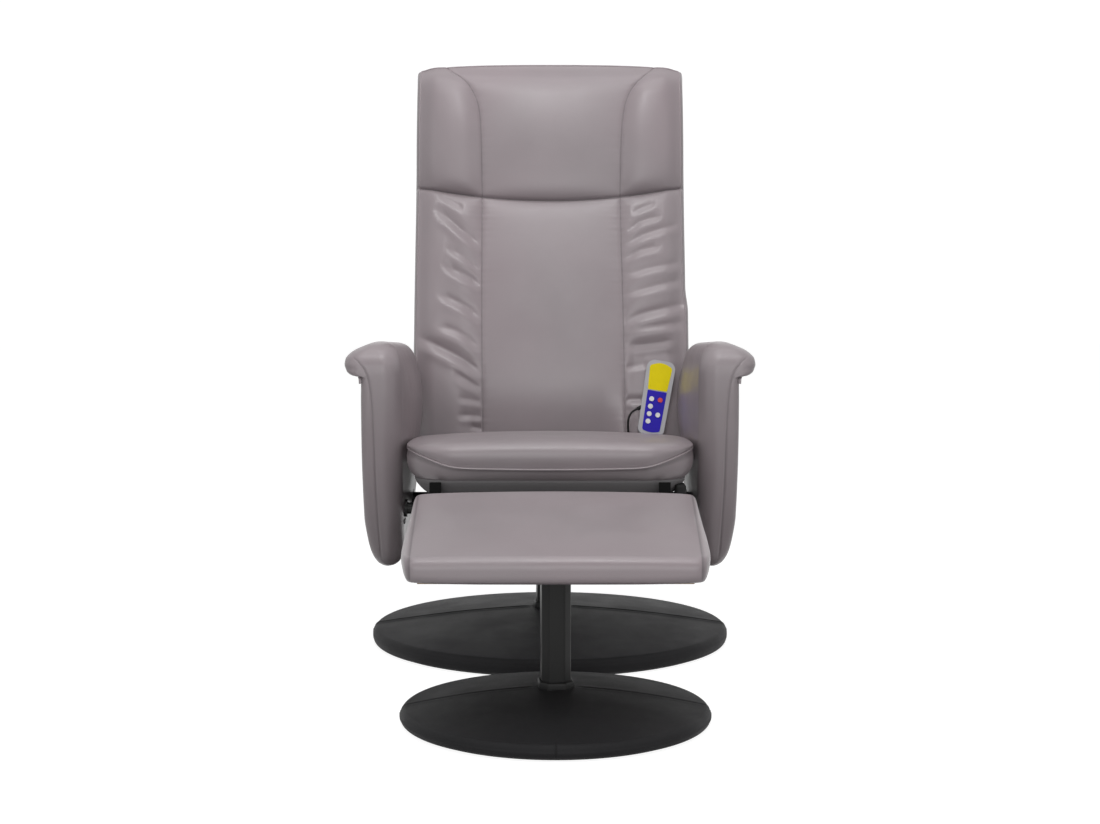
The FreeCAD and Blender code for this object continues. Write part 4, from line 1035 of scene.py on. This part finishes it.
def chamfered_ring(half):
    """Points round a square tube's section with wide chamfers and rounded edges."""
    corners = []
    for quarter in range(4):
        angle = COLUMN_TURN + quarter * math.pi / 2
        way = np.array([math.cos(angle), math.sin(angle)])
        across = np.array([-way[1], way[0]]) * FLAT_SHARE * half
        corners += [way * half - across, way * half + across]
    ring = []
    for index, here in enumerate(corners):
        before, after = unit(corners[index - 1] - here), unit(corners[(index + 1) % 8] - here)
        steps = (2.5 * before, before, 0.3 * (before + after), after, 2.5 * after)
        ring += [here + step * EDGE_ROUND for step in steps]
    return np.array(ring)


def column(body, prefix, centre, half, apex):
    """Chamfered square column on a round flange, and a collar of its section over the cover."""
    bottom, top = (float(corner[2]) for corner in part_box(prefix + "_column"))
    section = chamfered_ring(half) + centre
    heights = (bottom, bottom + COLUMN_CHAMFER, top - COLUMN_CHAMFER, top)
    points, faces = lofted([level(section, height) for height in heights])
    disc = circle(64)
    narrow, rim = FLANGE_RADIUS - FLANGE_CHAMFER, bottom + FLANGE_THICKNESS
    plate, plate_faces = lofted([
        level(disc * radius + centre, height)
        for radius, height in ((narrow, bottom), (FLANGE_RADIUS, bottom + FLANGE_CHAMFER),
                               (FLANGE_RADIUS, rim - FLANGE_CHAMFER), (narrow, rim))
    ])
    faces += shifted(plate_faces, len(points))
    points = np.vstack([points, plate])
    add_mesh(prefix + "_column_tube", points, faces, body, prefix + "_column", slot="satin_black")
    rings = [level(chamfered_ring(half + step) + centre, apex + rise) for step, rise in COLLAR_RINGS]
    points, faces = lofted(rings, caps=False)
    count = len(section)
    faces += band(list(range(len(points) - count, len(points))), list(range(count)))
    add_mesh(prefix + "_collar_ring", points, faces, body, prefix + "_column_collar", slot="black_plastic")


column("chair_base", "chair", CHAIR_PLACE, 0.024, CHAIR_APEX)
column("footstool", "footstool", STOOL_PLACE, 0.0215, STOOL_APEX)


# Footstool pad

STOOL_REAR_HEIGHT, STOOL_FRONT_HEIGHT = 0.088, 0.036
STOOL_SEAM_REAR, STOOL_SEAM_FRONT = 0.2114, 0.1995
STOOL_CROWN = 0.0055
STOOL_REAR_LIFT, STOOL_FRONT_LIFT, STOOL_HEM = 0.0035, 0.001, 0.0005
STOOL_SIDE_BULGE = 0.0145
STOOL_PINCH = 0.002
CAP_SHARES = (0.02, 0.05, 0.09, 0.15, 0.24, 0.36, 0.5, 0.66, 0.82)


def along_stool(y):
    """Share of the way from the pad's front to its rear."""
    return np.clip((y - STOOL_FRONT) / (STOOL_REAR - STOOL_FRONT), 0, 1)


def stool_profile(half_share):
    """Outline (y, z) of the pad at a share of its half-width, from the bottom rear."""
    rear_lift = STOOL_REAR_LIFT * (1 - half_share ** 2) - 0.001 * half_share ** 12
    front_lift = STOOL_FRONT_LIFT * (1 - half_share ** 2)
    hem = STOOL_HEM + 0.0028 * np.abs(half_share) ** 5
    line = round_corners((
        (STOOL_REAR, STOOL_BOTTOM, 0.009),
        (STOOL_REAR, STOOL_BOTTOM + STOOL_REAR_HEIGHT + rear_lift, 0.02),
        (STOOL_FRONT, STOOL_BOTTOM + STOOL_FRONT_HEIGHT + front_lift, 0.017),
        (STOOL_FRONT, STOOL_BOTTOM + hem, 0.01),
    ))
    ring = evenly([*line, line[0]], 240)
    crown = STOOL_CROWN * np.sin(math.pi * along_stool(ring[:, 0])) * (1 - 0.55 * half_share ** 2)
    ring[:, 1] += np.where(ring[:, 1] > STOOL_BOTTOM + 0.03, crown, 0)
    return ring


def stool_cap(edge, side):
    """Rings that close one side of the pad, from its seam inward, with a bulge."""
    middle = np.array([edge[:, 0].mean(), STOOL_PLACE[1] + 0.02, edge[:, 2].mean() - 0.004])
    low = np.sqrt(1 - (1 - np.clip((edge[:, 2] - STOOL_BOTTOM) / 0.034, 0, 1)) ** 2)
    rear = ease(edge[:, 1] - STOOL_PLACE[1], STOOL_FRONT, STOOL_REAR)
    rings = []
    for share in CAP_SHARES:
        ring = edge + (middle - edge) * share
        bulge = STOOL_SIDE_BULGE * math.sqrt(1 - (1 - min(share / 0.36, 1)) ** 2)
        ring[:, 0] += side * bulge * (0.35 + 0.65 * low) * (1 - 0.45 * rear)
        rings.append(ring)
    return rings


def footstool_pad():
    rings, dark = [], []
    for share in np.hstack([-spread(70)[::-1], spread(70)[1:]]):
        ring = stool_profile(share)
        reach = STOOL_SEAM_FRONT + (STOOL_SEAM_REAR - STOOL_SEAM_FRONT) * along_stool(ring[:, 0])
        inward = ring.mean(axis=0) - ring
        pinch = STOOL_PINCH * math.exp(-(1 - abs(share)) / 0.018)
        y, z = (ring + inward / np.linalg.norm(inward, axis=1)[:, None] * pinch).T
        rings.append(np.column_stack([STOOL_PLACE[0] + share * reach, STOOL_PLACE[1] + y, z]))
        # Painted shade along the seam grooves at both sides of the top panel.
        dark.append(0.65 * ridge(1 - abs(share), 0.005))
    rings = stool_cap(rings[0], -1)[::-1] + rings + stool_cap(rings[-1], 1)
    quiet = [0] * len(CAP_SHARES)
    shade = np.repeat(quiet + dark + quiet, len(rings[0]))
    piece = add_mesh("footstool_upholstery", *lofted(rings), "footstool", "footstool_cushion", shade=shade)


footstool_pad()


# Floor, surroundings and lights

FLOOR_REACH = 14
# Grey of the floor as it lights the part, and as it is seen with a glow added
FLOOR_LIT, FLOOR_SEEN, FLOOR_GLOW = (0.3, 0.3, 0.3, 1), (0.36, 0.36, 0.36, 1), 0.9
AMBIENT, BACKDROP = 0.3, 1.05
# Each light's place, target, size and power in watts
LIGHTS = {
    "key": ((0, -1.5, 3.05), (0, 0.1, 0.6), 1, 30),
    "front": ((0, -4.6, 0.8), (0, 0, 0.4), 2.6, 64),
    "top": ((0, -0.2, 3.2), (0, -0.2, 0), 1.6, 17),
    "left": ((-2.2, -1.7, 1.7), (0, 0, 0.6), 1.4, 5),
    "right": ((2.2, -1.7, 1.7), (0, 0, 0.6), 1.4, 5),
}


def show_by_ray(tree, lit, seen, output):
    """One shader for rays that light the part, another for those from the camera, a mirror or glass."""
    path = tree.nodes.new("ShaderNodeLightPath")
    direct = path.outputs["Is Camera Ray"]
    for name in ("Is Glossy Ray", "Is Transmission Ray"):
        direct = math_node(tree, "MAXIMUM", direct, path.outputs[name])
    mix = add_node(tree, "ShaderNodeMixShader", {0: direct, 1: lit.outputs[0], 2: seen.outputs[0]})
    set_inputs(tree, tree.nodes[output], {"Surface": mix.outputs[0]})


def floor():
    material = new_material("floor_white")
    tree = material.node_tree
    tree.nodes.remove(tree.nodes["Principled BSDF"])
    lit = add_node(tree, "ShaderNodeBsdfDiffuse", {"Color": FLOOR_LIT})
    pale = add_node(tree, "ShaderNodeBsdfDiffuse", {"Color": FLOOR_SEEN})
    glow = add_node(tree, "ShaderNodeEmission", {"Strength": FLOOR_GLOW})
    seen = add_node(tree, "ShaderNodeAddShader", {0: pale.outputs[0], 1: glow.outputs[0]})
    show_by_ray(tree, lit, seen, "Material Output")
    mesh = bpy.data.meshes.new("floor")
    corners = [(x * FLOOR_REACH, y * FLOOR_REACH, 0) for x, y in ((-1, -1), (1, -1), (1, 1), (-1, 1))]
    mesh.from_pydata(corners, [], [(0, 1, 2, 3)])
    mesh.materials.append(material)
    link("floor", mesh)


def surroundings():
    world = bpy.data.worlds.new("world")
    world.use_nodes = True
    bpy.context.scene.world = world
    tree = world.node_tree
    ambient = tree.nodes["Background"]
    set_inputs(tree, ambient, {"Color": (1, 1, 1, 1), "Strength": AMBIENT})
    backdrop = add_node(tree, "ShaderNodeBackground", {"Color": (1, 1, 1, 1), "Strength": BACKDROP})
    show_by_ray(tree, ambient, backdrop, "World Output")


def lights():
    for name, (place, target, size, power) in LIGHTS.items():
        data = bpy.data.lights.new(name, "AREA")
        data.shape = "SQUARE"
        data.size = size
        data.energy = power
        lamp = link(name, data)
        lamp.location = place
        lamp.rotation_euler = (Vector(target) - Vector(place)).to_track_quat("-Z", "Y").to_euler()


floor()
surroundings()
lights()
bpy.context.scene.view_settings.view_transform = "Standard"
